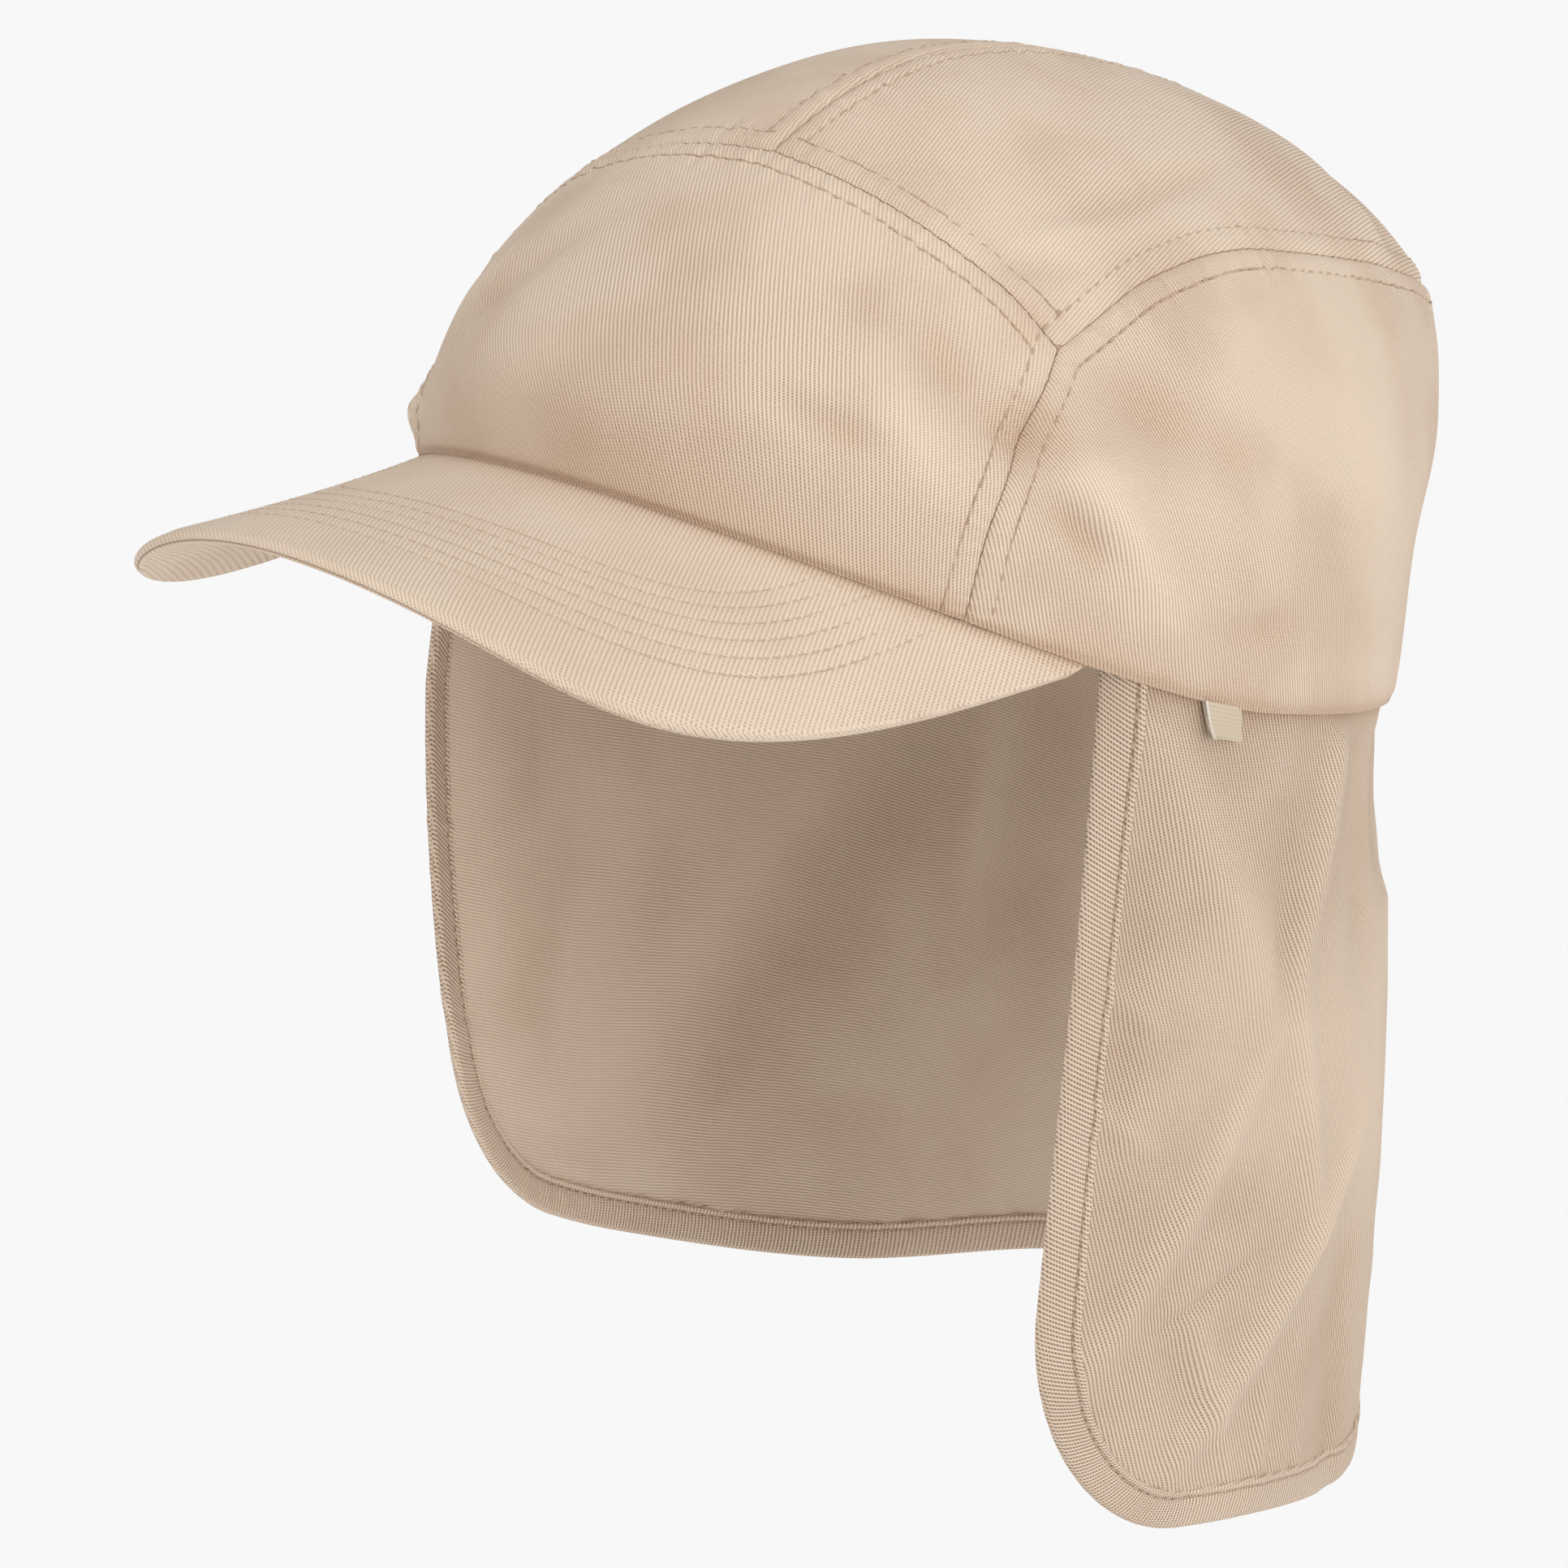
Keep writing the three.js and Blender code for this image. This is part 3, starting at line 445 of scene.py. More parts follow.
def twill(name, colour, rosy, rib, tilt, contrast=1.0, row_shade=0.9, row_pitch=stitch_pitch):
    """Cotton twill: ribs with dotted furrows of painted shade, painted highlight on ridges, rosier painted
    shade in hollows, brown painted shade along seams, stitch rows and under edges.
    """
    material = bpy.data.materials.new(name)
    material.use_nodes = True
    nodes, links = material.node_tree.nodes, material.node_tree.links
    shader = nodes["Principled BSDF"]
    shader.inputs["Roughness"].default_value = twill_roughness
    shader.inputs["Specular IOR Level"].default_value = twill_gloss
    shader.inputs["Sheen Weight"].default_value = twill_fuzz
    shader.inputs["Sheen Roughness"].default_value = twill_fuzz_roughness

    def add(kind, **settings):
        node = nodes.new(kind)
        for key, value in settings.items():
            setattr(node, key, value)
        return node

    def maths(operation, first, second, clamp=False):
        node = add("ShaderNodeMath", operation=operation, use_clamp=clamp)
        for socket, value in zip(node.inputs, (first, second)):
            if isinstance(value, (int, float)):
                socket.default_value = value
            else:
                links.new(value, socket)
        return node.outputs[0]

    def ramp(value, low, high, start, end):
        node = add("ShaderNodeMapRange", interpolation_type="SMOOTHSTEP")
        links.new(value, node.inputs["Value"])
        for socket, number in zip(("From Min", "From Max", "To Min", "To Max"), (low, high, start, end)):
            node.inputs[socket].default_value = number
        return node.outputs["Result"]

    def blend(share, first, second):
        node = add("ShaderNodeMix", data_type="RGBA")
        links.new(share, node.inputs["Factor"])
        for socket, value in ((node.inputs[6], first), (node.inputs[7], second)):
            if isinstance(value, tuple):
                socket.default_value = value + (1,)
            else:
                links.new(value, socket)
        return node.outputs[2]

    cloth = add("ShaderNodeUVMap", uv_map="weave").outputs[0]
    space = add("ShaderNodeTexCoord").outputs["Object"]

    def noise(source, scale, detail):
        node = add("ShaderNodeTexNoise")
        links.new(source, node.inputs["Vector"])
        node.inputs["Scale"].default_value = scale
        node.inputs["Detail"].default_value = detail
        return node.outputs["Fac"]

    def bands(pitch, turn, waver):
        mapping = add("ShaderNodeMapping")
        links.new(cloth, mapping.inputs["Vector"])
        mapping.inputs["Rotation"].default_value[2] = math.radians(turn)
        wave = add("ShaderNodeTexWave", wave_type="BANDS", bands_direction="X", wave_profile="SIN")
        links.new(mapping.outputs[0], wave.inputs["Vector"])
        wave.inputs["Scale"].default_value = band_pitch / pitch
        wave.inputs["Distortion"].default_value = waver
        wave.inputs["Detail"].default_value = 1
        wave.inputs["Detail Scale"].default_value = band_detail_scale
        return wave.outputs["Fac"]

    blotch = noise(space, blotch_scale, detail=2)
    patch = noise(space, patch_scale, detail=1)
    fibre = noise(cloth, fibre_scale, detail=2)
    fold = add("ShaderNodeAttribute", attribute_name="fold").outputs["Fac"]

    ribs = bands(rib, tilt, rib_waver)
    dots = bands(rib * dot_spacing, tilt + dot_turn, dot_waver)
    furrow = ramp(ribs, *furrow_ramp)
    dotted = maths("MULTIPLY", furrow, ramp(dots, *dot_ramp))
    strength = ramp(patch, *patch_ramp)
    # The furrows' painted shade is weaker on ridges and stronger in hollows
    shown = maths("MULTIPLY", dotted, maths("SUBTRACT", strength, maths("MULTIPLY", fold, furrow_shade_by_fold)))

    # Painted shade turns hollows rosier and darker, painted highlight turns ridges paler; the blotches are
    # the cloth's own uneven tone
    hollow = maths("MULTIPLY", fold, -hollow_painted_shade)
    rosiness = maths("ADD", hollow, ramp(blotch, *blotch_ramp), clamp=True)
    pale = tuple(min(c * ridge_highlight_gain, 1) for c in colour)
    ridge = maths("MULTIPLY", fold, ridge_painted_highlight, clamp=True)
    tone = blend(ridge, blend(rosiness, colour, rosy), pale)
    # Painted shade darkens the dotted furrows of the weave
    deep = tuple(c * f for c, f in zip(colour, furrow_shade_shares))
    tone = blend(maths("MULTIPLY", shown, furrow_shade_strength * contrast, clamp=True), tone, deep)
    light = tuple(min(c * fibre_gain, 1) for c in colour)
    tone = blend(ramp(fibre, *fibre_ramp), tone, light)

    # Brown painted shade: dashes along each stitch row, a crisp line at each seam and a band under
    # overhanging edges
    sewing = add("ShaderNodeSeparateXYZ")
    links.new(add("ShaderNodeAttribute", attribute_name="sewing").outputs["Vector"], sewing.inputs[0])
    from_row, along, from_seam = sewing.outputs
    beat = maths("SINE", maths("MULTIPLY", along, 2 * math.pi / row_pitch), 0)
    dash = ramp(beat, *stitch_beat_ramp)
    row = maths("MULTIPLY", ramp(from_row, *row_shade_reach, row_shade, 0), dash)
    seam = maths("MULTIPLY", ramp(from_seam, *seam_ramp), ramp(fibre, *seam_fibre_ramp))
    brown = tuple(c * f for c, f in zip(colour, sewn_shade_shares))
    under_edge = ramp(fold, *under_edge_ramp)
    tone = blend(maths("MAXIMUM", maths("MAXIMUM", row, seam), under_edge), tone, brown)
    links.new(tone, shader.inputs["Base Color"])

    height = maths("SUBTRACT", maths("MULTIPLY", fibre, fibre_height), shown)
    bump = add("ShaderNodeBump")
    bump.inputs["Strength"].default_value = twill_bump * contrast
    bump.inputs["Distance"].default_value = rib * furrow_depth_share
    links.new(height, bump.inputs["Height"])
    links.new(bump.outputs[0], shader.inputs["Normal"])
    return material


crown_colour = (0.735, 0.60, 0.472)
crown_rosy = (0.595, 0.425, 0.305)
crown_contrast = 1.3
rib_pitch = 0.00076
front_tilt = -31
front_grid = (240, 130)

front_panel = crown_panel("front_panel_cloth", *front_grid, front_rule)
front_panel.data.materials.append(
    twill("front_twill", crown_colour, crown_rosy, rib_pitch, front_tilt, crown_contrast))
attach(front_panel, "root")
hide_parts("front_panel")


# Top panels: two pieces of the same twill that meet in a seam over the middle of the head and run
# back to a point behind. Each is sewn to the front panel before and to a side panel along its outside.
top_tilt = 78
top_grid = (230, 74)


def top_rule(hand):
    """Rule of a top panel, blended inwards from the seams along its four sides."""
    def seam(angle):
        front = curve(*front_seam_rows, angle)
        return map_point(angle, np.where(angle <= corner_angle, front, curve(*long_seam_rows, angle)))

    def rule(a, b):
        front = seam(corner_angle * b)
        behind = seam(180 - (180 - back_angle) * b)
        outer = seam(corner_angle + (back_angle - corner_angle) * a)
        first, last = top_line[0], top_line[-1]
        inner = first + (last - first) * a[:, None]
        corner, far_corner = seam(np.array([corner_angle, back_angle]) + 0.0)
        a, b = a[:, None], b[:, None]
        sides = (1 - b) * inner + b * outer + (1 - a) * front + a * behind
        corners = (1 - a) * ((1 - b) * first + b * corner) + a * ((1 - b) * last + b * far_corner)
        return (sides - corners) * (hand, 1)
    return rule


for hand, side in ((1, "left"), (-1, "right")):
    top_panel = crown_panel(f"top_panel_{side}_cloth", *top_grid, top_rule(hand), lower_edge=False)
    top_panel.data.materials.append(
        twill(f"top_twill_{side}", crown_colour, crown_rosy, rib_pitch, top_tilt, crown_contrast))
    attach(top_panel, "root")
    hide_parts(f"top_panel_{side}")


# Side panels: one over each ear, from the front panel's seam to the middle of the back, where they
# meet in a short upright seam. The lower edge is turned under and the flap hangs from inside it.
side_tilt = -19
side_grid = (270, 110)


def side_rule(hand):
    """Rule of a side panel, from the front panel's seam to the middle of the back."""
    def rule(a, b):
        start = curve(*side_seam_rows, b)
        top = curve(*long_seam_rows, corner_angle + (180 - corner_angle) * a)
        return map_point(hand * (start + (180 - start) * a), b * top)
    return rule


for hand, side in ((1, "left"), (-1, "right")):
    side_panel = crown_panel(f"side_panel_{side}_cloth", *side_grid, side_rule(hand))
    side_panel.data.materials.append(
        twill(f"side_twill_{side}", crown_colour, crown_rosy, rib_pitch, side_tilt, crown_contrast))
    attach(side_panel, "root")
    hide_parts(f"side_panel_{side}")


# Crown topstitching: a row of lockstitch on each side of every crown seam, in thread of the cloth's
# own colour. Each stitch lies on the cloth and dives into its needle holes, where its ends carry painted
# shade.
stitch_length = 0.0024
thread_radius = 0.0002
thread_colour = (0.50, 0.36, 0.25)
hole_shade_colour = (0.20, 0.13, 0.09)
thread_roughness = 0.7
thread_fuzz = 0.2
ply_scale = 4000
ply_bump = 0.4


def thread_material(name, colour, dark):
    """Twisted cotton thread, with painted shade at the ends of each stitch where it enters the cloth."""
    material = bpy.data.materials.new(name)
    material.use_nodes = True
    nodes, links = material.node_tree.nodes, material.node_tree.links
    shader = nodes["Principled BSDF"]
    shader.inputs["Roughness"].default_value = thread_roughness
    shader.inputs["Sheen Weight"].default_value = thread_fuzz
    end = nodes.new("ShaderNodeAttribute")
    end.attribute_name = "fold"
    mix = nodes.new("ShaderNodeMix")
    mix.data_type = "RGBA"
    mix.inputs[6].default_value = colour + (1,)
    mix.inputs[7].default_value = dark + (1,)
    links.new(end.outputs["Fac"], mix.inputs["Factor"])
    links.new(mix.outputs[2], shader.inputs["Base Color"])
    coordinates = nodes.new("ShaderNodeTexCoord")
    ply = nodes.new("ShaderNodeTexNoise")
    ply.inputs["Scale"].default_value = ply_scale
    links.new(coordinates.outputs["Object"], ply.inputs["Vector"])
    bump = nodes.new("ShaderNodeBump")
    bump.inputs["Distance"].default_value = thread_radius
    bump.inputs["Strength"].default_value = ply_bump
    links.new(ply.outputs["Fac"], bump.inputs["Height"])
    links.new(bump.outputs[0], shader.inputs["Normal"])
    return material


# Distance to either side of a point over which a line's direction is taken
look_ahead = 0.0004


def resample(line, pitch):
    """Evenly spaced points along a line of points, with the direction of the line at each."""
    steps = np.linalg.norm(np.diff(line, axis=0), axis=1)
    run = np.concatenate([[0], np.cumsum(steps)])
    count = max(int(run[-1] / pitch), 1)
    at = (np.arange(count) + 0.5) * run[-1] / count
    spots = np.stack([np.interp(at, run, line[:, k]) for k in range(3)], -1)
    ahead = np.stack([np.interp(at + look_ahead, run, line[:, k]) for k in range(3)], -1)
    behind = np.stack([np.interp(at - look_ahead, run, line[:, k]) for k in range(3)], -1)
    return spots, unit(ahead - behind)


# A stitch's ends sink in and carry painted shade; its lean and length vary a little from one stitch to the
# next
end_sink = 1.6
end_sink_sharpness = 3
hole_shade_from = 0.7
hole_shade_share = 0.3
stitch_lean = 0.1
skew_size = 0.12
skew_pace = 1.7
skew_lean = 0.4
length_change = 0.08
length_pace = 2.3


def sew(name, rows, material, length=stitch_length, pitch=stitch_pitch):
    """One mesh of stitches along rows of (points, outward directions), copied from one small stitch."""
    radius = thread_radius
    bpy.ops.object.select_all(action="DESELECT")
    bpy.ops.mesh.primitive_uv_sphere_add(segments=6, ring_count=6, radius=1)
    stitch = bpy.context.object
    shape = np.array([v.co for v in stitch.data.vertices])
    faces = [tuple(f.vertices) for f in stitch.data.polygons]
    bpy.data.objects.remove(stitch)
    along = shape[:, 2]
    sunk = -end_sink * np.abs(along) ** end_sink_sharpness
    dark = np.clip((np.abs(along) - hole_shade_from) / hole_shade_share, 0, 1)
    points, shades = [], []
    for line, outward in rows:
        spots, directions = resample(line, pitch)
        tree = KDTree(len(line))
        for i, p in enumerate(line):
            tree.insert(Vector(p), i)
        tree.balance()
        near = [tree.find(Vector(p))[1] for p in spots]
        for k, (spot, ahead, i) in enumerate(zip(spots, directions, near)):
            out = outward[i]
            aside = unit(np.cross(out, ahead))
            skew = skew_size * math.sin(skew_pace * k)
            ahead = unit(ahead + aside * (stitch_lean + skew * skew_lean))
            stretch = length / 2 * (1 + length_change * math.sin(length_pace * k))
            body = along[:, None] * stretch * ahead + shape[:, :1] * radius * aside
            points.append(spot + body + (shape[:, 1:2] + sunk[:, None]) * radius * out)
            shades.append(dark)
    count = len(shape)
    all_faces = [tuple(i + k * count for i in f) for k in range(len(points)) for f in faces]
    mesh = bpy.data.meshes.new(name)
    mesh.from_pydata(np.concatenate(points).tolist(), [], all_faces)
    # The painted shade at the stitch ends is kept in the fold attribute
    kept = mesh.attributes.new("fold", "FLOAT", "POINT")
    kept.data.foreach_set("value", np.concatenate(shades))
    piece = bpy.data.objects.new(name, mesh)
    bpy.context.scene.collection.objects.link(piece)
    mesh.materials.append(material)
    mesh.shade_smooth()
    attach(piece, "root")
    return piece


# Height of a thread's middle over the cloth, as a share of its radius
thread_seat = 0.45


def beside(line, offset):
    """A row on the crown at a distance from a seam line on the map, with its outward directions."""
    spots, outward, _ = crown_spot(line)
    step = 0.3
    over_x = (crown_spot(line + (step, 0))[0] - spots) / step
    over_y = (crown_spot(line + (0, step))[0] - spots) / step
    along = unit(np.gradient(spots, axis=0))
    aside = np.cross(outward, along) * offset
    moves = []
    for x, y, a in zip(over_x, over_y, aside):
        moves.append(np.linalg.lstsq(np.stack([x, y], -1), a, rcond=None)[0])
    moved = line + np.array(moves)
    base, outward, dent = crown_spot(moved)
    rise = 90 - np.hypot(moved[:, 0], moved[:, 1])
    lift = dent * dent_depth + sewn_relief(base, np.radians(rise))[0] + thread_radius * thread_seat
    return lean(base + outward * lift[:, None]), lean(outward)


# The seam points that stitch rows follow, stopping short of the seams that cross their ends
outer_span = slice(6, None, 4)
outer_span_inside = slice(6, -14, 4)
front_span = slice(12, -26, 4)
top_span = slice(22, -24, 4)
back_span = slice(22, -6, 4)

crown_thread = thread_material("crown_thread", thread_colour, hole_shade_colour)
stitch_rows = []
for hand in (1, -1):
    flip = np.array([hand, 1])
    for offset in (topstitch_offset, -topstitch_offset):
        span = outer_span_inside if offset * hand > 0 else outer_span
        stitch_rows.append(beside(outer_line[span] * flip, offset))
        stitch_rows.append(beside(front_line[front_span] * flip, offset))
for offset in (topstitch_offset, -topstitch_offset):
    stitch_rows.append(beside(top_line[top_span], offset))
    stitch_rows.append(beside(back_line[back_span], offset))
sew("crown_stitching", stitch_rows, crown_thread)


# Peak: a curved board covered with twill on both sides, sewn through with six rows of stitches that
# follow its form. It is set into the front of the crown's lower edge, and its rim is a closed seam.
peak_length = 0.0758
peak_wall = 0.0032
peak_seat = 0.0009
peak_half_angle = 63
peak_fullness = 6.95
peak_end_sharpness = 1.536
peak_fall_middle = 0.174
peak_fall_left = 0.307
peak_fall_right = 0.385
peak_turn = 0.022
peak_end = 0.98
piece_gap = 0.00036
rim_share = 0.94
peak_row_count = 6
peak_row_reach = (0.033, 0.0589)
peak_row_ends = (0.505, 0.735)
peak_row_fullness = 5
peak_row_end_sharpness = 0.3
peak_row_dip = 0.00022
steepest_row = 60
peak_grid = (300, 230)
peak_merge = 0.000005
peak_rib = 0.00086
peak_tilt = -33
peak_colour = (0.735, 0.60, 0.47)
peak_rosy = (0.67, 0.52, 0.395)
peak_contrast = 0.95
peak_row_shade = 0.55
hem_shadow_reach = 0.0032
hem_shadow_depth = 2.8


def peak_out(across):
    """How far the peak's edge stands out from the crown."""
    return peak_length * np.maximum(1 - np.abs(across) ** peak_fullness, 0) ** peak_end_sharpness


def peak_sheet(across, out):
    """Upper face of the peak before the crown's lean: across runs -1 to 1, out 0 at the crown to 1."""
    base = crown_base(across * peak_half_angle, np.zeros(np.shape(across)))
    inside = unit(base * (1, 1, 0)) * -peak_seat
    fall = peak_fall_middle + np.where(across > 0, peak_fall_left, peak_fall_right) * across ** 2
    turn = peak_turn * across
    step = np.stack([np.sin(turn), -np.cos(turn), -fall], -1)
    return base + inside + step * (out * peak_out(across))[..., None] + (0, 0, -piece_gap)


def peak_point(across, out, depth):
    """Point of the peak at a depth below its upper face, with the face's upward direction."""
    aside_step = 0.01
    out_step = 0.02
    u = np.clip(across, -peak_end, peak_end)
    along = peak_sheet(u + aside_step, out) - peak_sheet(u - aside_step, out)
    forward = peak_sheet(u, out + out_step) - peak_sheet(u, out - out_step)
    normal = unit(np.cross(along, forward))
    normal *= np.where(normal[..., 2:] < 0, -1, 1)
    return peak_sheet(across, out) - normal * depth[..., None], normal


def peak_sewing(across, out):
    """Distance from the nearest stitched row, measured square to the row, and the run along it."""
    reach = out * peak_out(across)
    aside = across * opening_half_width
    nearest = np.full(np.shape(across), 1.0)
    step = 0.002
    for k in range(peak_row_count):
        row = peak_row(k, across)
        rise = peak_row(k, across + step) - peak_row(k, across - step)
        slope = rise / (2 * step * opening_half_width)
        distance = np.abs(reach - row) / np.sqrt(1 + np.minimum(slope ** 2, steepest_row))
        nearest = np.minimum(nearest, np.where(row > 0, distance, 1))
    return nearest, aside + reach * np.sign(across)


def row_value(first_and_last, k):
    """A measure of stitched row k, between those of the first and the last row."""
    return first_and_last[0] + (first_and_last[1] - first_and_last[0]) * (k / (peak_row_count - 1))


def peak_row(k, across):
    """How far a stitched row stands out from the crown; 0 beyond its ends."""
    towards_end = (np.abs(across) / row_value(peak_row_ends, k)) ** peak_row_fullness
    return row_value(peak_row_reach, k) * np.maximum(1 - towards_end, 0) ** peak_row_end_sharpness


# The strip of cloth that wraps the board: shares of the way round, angles round the rim, and metres
column_crowding = 0.55
face_share = 0.92
rim_band = 0.16
rim_ease = 0.004
rim_drop = 0.0005
rim_bulge = 0.0003
rim_flatness = 0.78
rim_seam_turn = 1.95
rim_seam_half_width = 0.16
rim_seam_dip = 0.0005
root_band = 0.004
weave_stretch = 1.1


def peak_place(a, b):
    """The covering cloth: a from end to end, b over the upper face, round the rim and back below."""
    share = 2 * a - 1
    across = np.sin(share * np.pi / 2) * column_crowding + share * (peak_end - column_crowding)
    around = b * 2
    upper = around < face_share
    lower = around > face_share + rim_band
    out = np.where(upper, around / face_share, np.where(lower, (2 - around) / face_share, 1)) * rim_share
    out = np.where(upper | lower, out, 1)
    depth = np.where(lower, peak_wall, 0)
    points, normal = peak_point(across, out, depth)
    rounding = np.clip((rim_ease - (1 - out) * peak_out(across)) / rim_ease, 0, 1) ** 2 * rim_drop
    sign = np.where(lower, -1, 1)
    dip = peak_row_dip * np.exp(-(peak_sewing(across, out)[0] / row_dip_half_width) ** 2)
    points -= normal * (sign * (rounding + dip))[:, None]
    rim_middle, _ = peak_point(across, np.ones_like(a), np.full_like(a, peak_wall / 2))
    rim_inner, _ = peak_point(across, np.full_like(a, rim_share), np.full_like(a, peak_wall / 2))
    rim_top, _ = peak_point(across, np.ones_like(a), np.zeros_like(a))
    outward = rim_middle - rim_inner
    size = np.linalg.norm(outward, axis=-1)
    room = np.minimum(peak_wall / 2, size + rim_bulge)
    turn = (around - face_share) / rim_band * np.pi
    seam = np.exp(-((turn - rim_seam_turn) / rim_seam_half_width) ** 2) * rim_seam_dip
    arc = rim_middle + (rim_top - rim_middle) * (np.cos(turn) * rim_flatness)[:, None]
    arc += unit(outward) * (room * (np.sin(turn) - 1) - seam)[:, None]
    points = np.where((upper | lower)[:, None], points, arc)
    root = np.clip(1 - np.minimum(around, 2 - around) / root_band, 0, 1)
    middle, _ = peak_point(across, np.zeros_like(a), np.full_like(a, peak_wall / 2))
    points = points + (middle - points) * root[:, None]
    rim_run = np.clip((around - face_share) / rim_band, 0, 1) * peak_wall * np.pi / 2
    weave = points[:, :2] * (weave_stretch, 1) + unit(outward * (1, 1, 0))[:, :2] * rim_run[:, None]
    from_row, along = peak_sewing(across, out)
    from_seam = np.where(upper | lower, 1, np.abs(turn - rim_seam_turn) * peak_wall / 2)
    from_hem = out * peak_out(across)
    shadow = -hem_shadow_depth * np.exp(-(from_hem / hem_shadow_reach) ** 2) * (depth == 0)
    return lean(points), weave, shadow, (from_row, along, from_seam)


# Edges that turn more than this stay crisp on a closed shell
shell_edge_angle = math.radians(60)


def close_shell(piece, merge_distance):
    """Joins the edges that meet, fills the open ends and turns every face outward."""
    pick(piece)
    bpy.ops.object.mode_set(mode="EDIT")
    bpy.ops.mesh.select_all(action="SELECT")
    bpy.ops.mesh.remove_doubles(threshold=merge_distance)
    bpy.ops.mesh.fill_holes(sides=0)
    bpy.ops.mesh.select_all(action="SELECT")
    bpy.ops.mesh.normals_make_consistent(inside=False)
    bpy.ops.object.mode_set(mode="OBJECT")
    bpy.ops.object.shade_smooth_by_angle(angle=shell_edge_angle)


# Peak thread, with painted shade where each stitch enters the cloth
peak_stitch_length = 0.0021
peak_stitch_pitch = 0.0029
peak_thread_colour = (0.56, 0.42, 0.30)
peak_hole_shade_colour = (0.36, 0.25, 0.17)

peak = cloth_grid("peak_cloth_cover", *peak_grid, peak_place)
close_shell(peak, peak_merge)
peak_twill = twill("peak_twill", peak_colour, peak_rosy, peak_rib, peak_tilt,
                   peak_contrast, peak_row_shade, peak_stitch_pitch)
peak.data.materials.append(peak_twill)
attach(peak, "root")
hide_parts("peak")

peak_row_points = 500
peak_row_start = 0.006
peak_stitch_rows = []
for k in range(peak_row_count):
    across = np.sin(np.linspace(-1, 1, peak_row_points) * np.pi / 2) * row_value(peak_row_ends, k)
    out = np.clip(peak_row(k, across) / peak_out(across), peak_row_start, 1)
    for depth in (0.0, peak_wall):
        line, normal = peak_point(across, out, np.full_like(across, depth))
        outward = normal if depth == 0 else -normal
        line = line + outward * (thread_radius * 0.5 - peak_row_dip)
        peak_stitch_rows.append((lean(line), lean(outward)))
peak_thread = thread_material("peak_thread", peak_thread_colour, peak_hole_shade_colour)
sew("peak_stitching", peak_stitch_rows, peak_thread, peak_stitch_length, peak_stitch_pitch)


# Neck flap: one long piece of lighter twill, gathered a little into the crown's lower edge from side to
# side round the back. It hangs by its own weight in soft upright folds and is bound along its free edge.
flap_wall = 0.0011
flap_tuck = 0.006
flap_front_angles = {1: 64.5, -1: 58.5}
flap_drop = 0.187
fold_height = 0.004
fold_bluntness = 0.8
fold_start = 0.05
corner_width = 0.033
corner_height = 0.05
binding_width = 0.0085
binding_wall = 0.0024
binding_lap = 0.0012
gather_height = 0.0013
gather_count = 13
gather_start = 0.03
gather_reach = 0.16
gather_span = 0.78
gather_span_sharpness = 6
flap_rib = 0.00084
flap_tilt = -19
flap_contrast = 1.65
lining_rib = 0.00066
lining_tilt = 85
lining_contrast = 1.3
lining_colour = (0.72, 0.595, 0.475)
lining_rosy = (0.62, 0.475, 0.36)
flap_colour = (0.645, 0.515, 0.397)
flap_rosy = (0.555, 0.405, 0.29)
flap_inside = Vector((0, 0, -0.08))

# Columns: place round the flap, drop of the lower edge, its shift to the left and back, belly
flap_rows = np.array([
    (-1, 0.64, 0.018, -0.019, 0.3),
    (-0.75, 0.816, 0.059, 0.017, 0.25),
    (-0.5, 0.941, 0.072, 0.059, 0),
    (-0.25, 0.968, 0.048, 0.084, 0),
    (0, 0.979, 0.015, 0.088, 0),
    (0.25, 0.991, -0.041, 0.063, 0.4),
    (0.5, 0.986, -0.053, 0.054, 0.75),
    (0.75, 0.908, -0.061, 0.017, 0.12),
    (1, 0.818, -0.066, -0.042, 0),
]).T

# Columns: place at the head, place at the foot, from and to share of the hang, half width, height; the
# narrow ones at the end are small creases that only the cloth shows
flap_folds = [
    (0.44, 0.46, -0.07, 0.26, 0.085, -1.25),
    (0.96, 0.71, 0.0, 0.44, 0.042, 0.62),
    (0.645, 0.725, -0.06, 0.36, 0.021, 0.5),
    (0.73, 0.65, 0.25, 0.68, 0.019, 0.42),
    (0.605, 0.58, -0.02, 0.38, 0.042, -0.62),
    (0.735, 0.965, 0.37, 0.85, 0.02, 0.52),
    (0.54, 0.87, 0.48, 0.97, 0.022, 0.62),
    (0.57, 0.6, 0.56, 0.99, 0.05, -0.5),
    (-0.32, -0.8, 0.12, 0.92, 0.055, 0.95),
    (-0.24, -0.72, 0.16, 0.96, 0.05, -0.55),
    (-0.255, -0.35, 0.15, 0.62, 0.026, 0.5),
    (-0.2, -0.31, 0.2, 0.8, 0.036, -0.42),
    (-0.82, -0.88, 0.12, 0.88, 0.07, -0.5),
    (-0.98, -0.98, 0.04, 0.78, 0.07, 0.6),
    (-0.04, -0.1, 0.1, 0.97, 0.06, 0.65),
    (0.12, 0.04, 0.1, 0.95, 0.07, -0.55),
    (0.29, 0.24, 0.12, 1, 0.06, 0.6),
    (0.755, 0.735, 0.1, 0.44, 0.02, -0.35),
    (0.94, 0.945, 0.08, 0.72, 0.024, -0.34),
    (0.965, 0.9, 0.34, 0.4, 0.026, 0.2),
    (0.965, 0.9, 0.48, 0.54, 0.026, 0.24),
    (0.74, 0.87, 0.65, 0.76, 0.014, -0.3),
    (0.86, 0.82, 0.72, 0.88, 0.022, -0.34),
    (0.83, 0.76, 0.71, 0.97, 0.015, 0.28),
    (0.72, 0.72, 0.78, 0.98, 0.012, 0.22),
    (0.575, 0.575, 0.86, 1.02, 0.02, -0.26),
]


# The flap's front ends lie under the peak's ends: angle past them, angle over which it eases, depth
peak_clear_angle = 6
peak_clear_ease = 4
peak_clear_share = 0.3


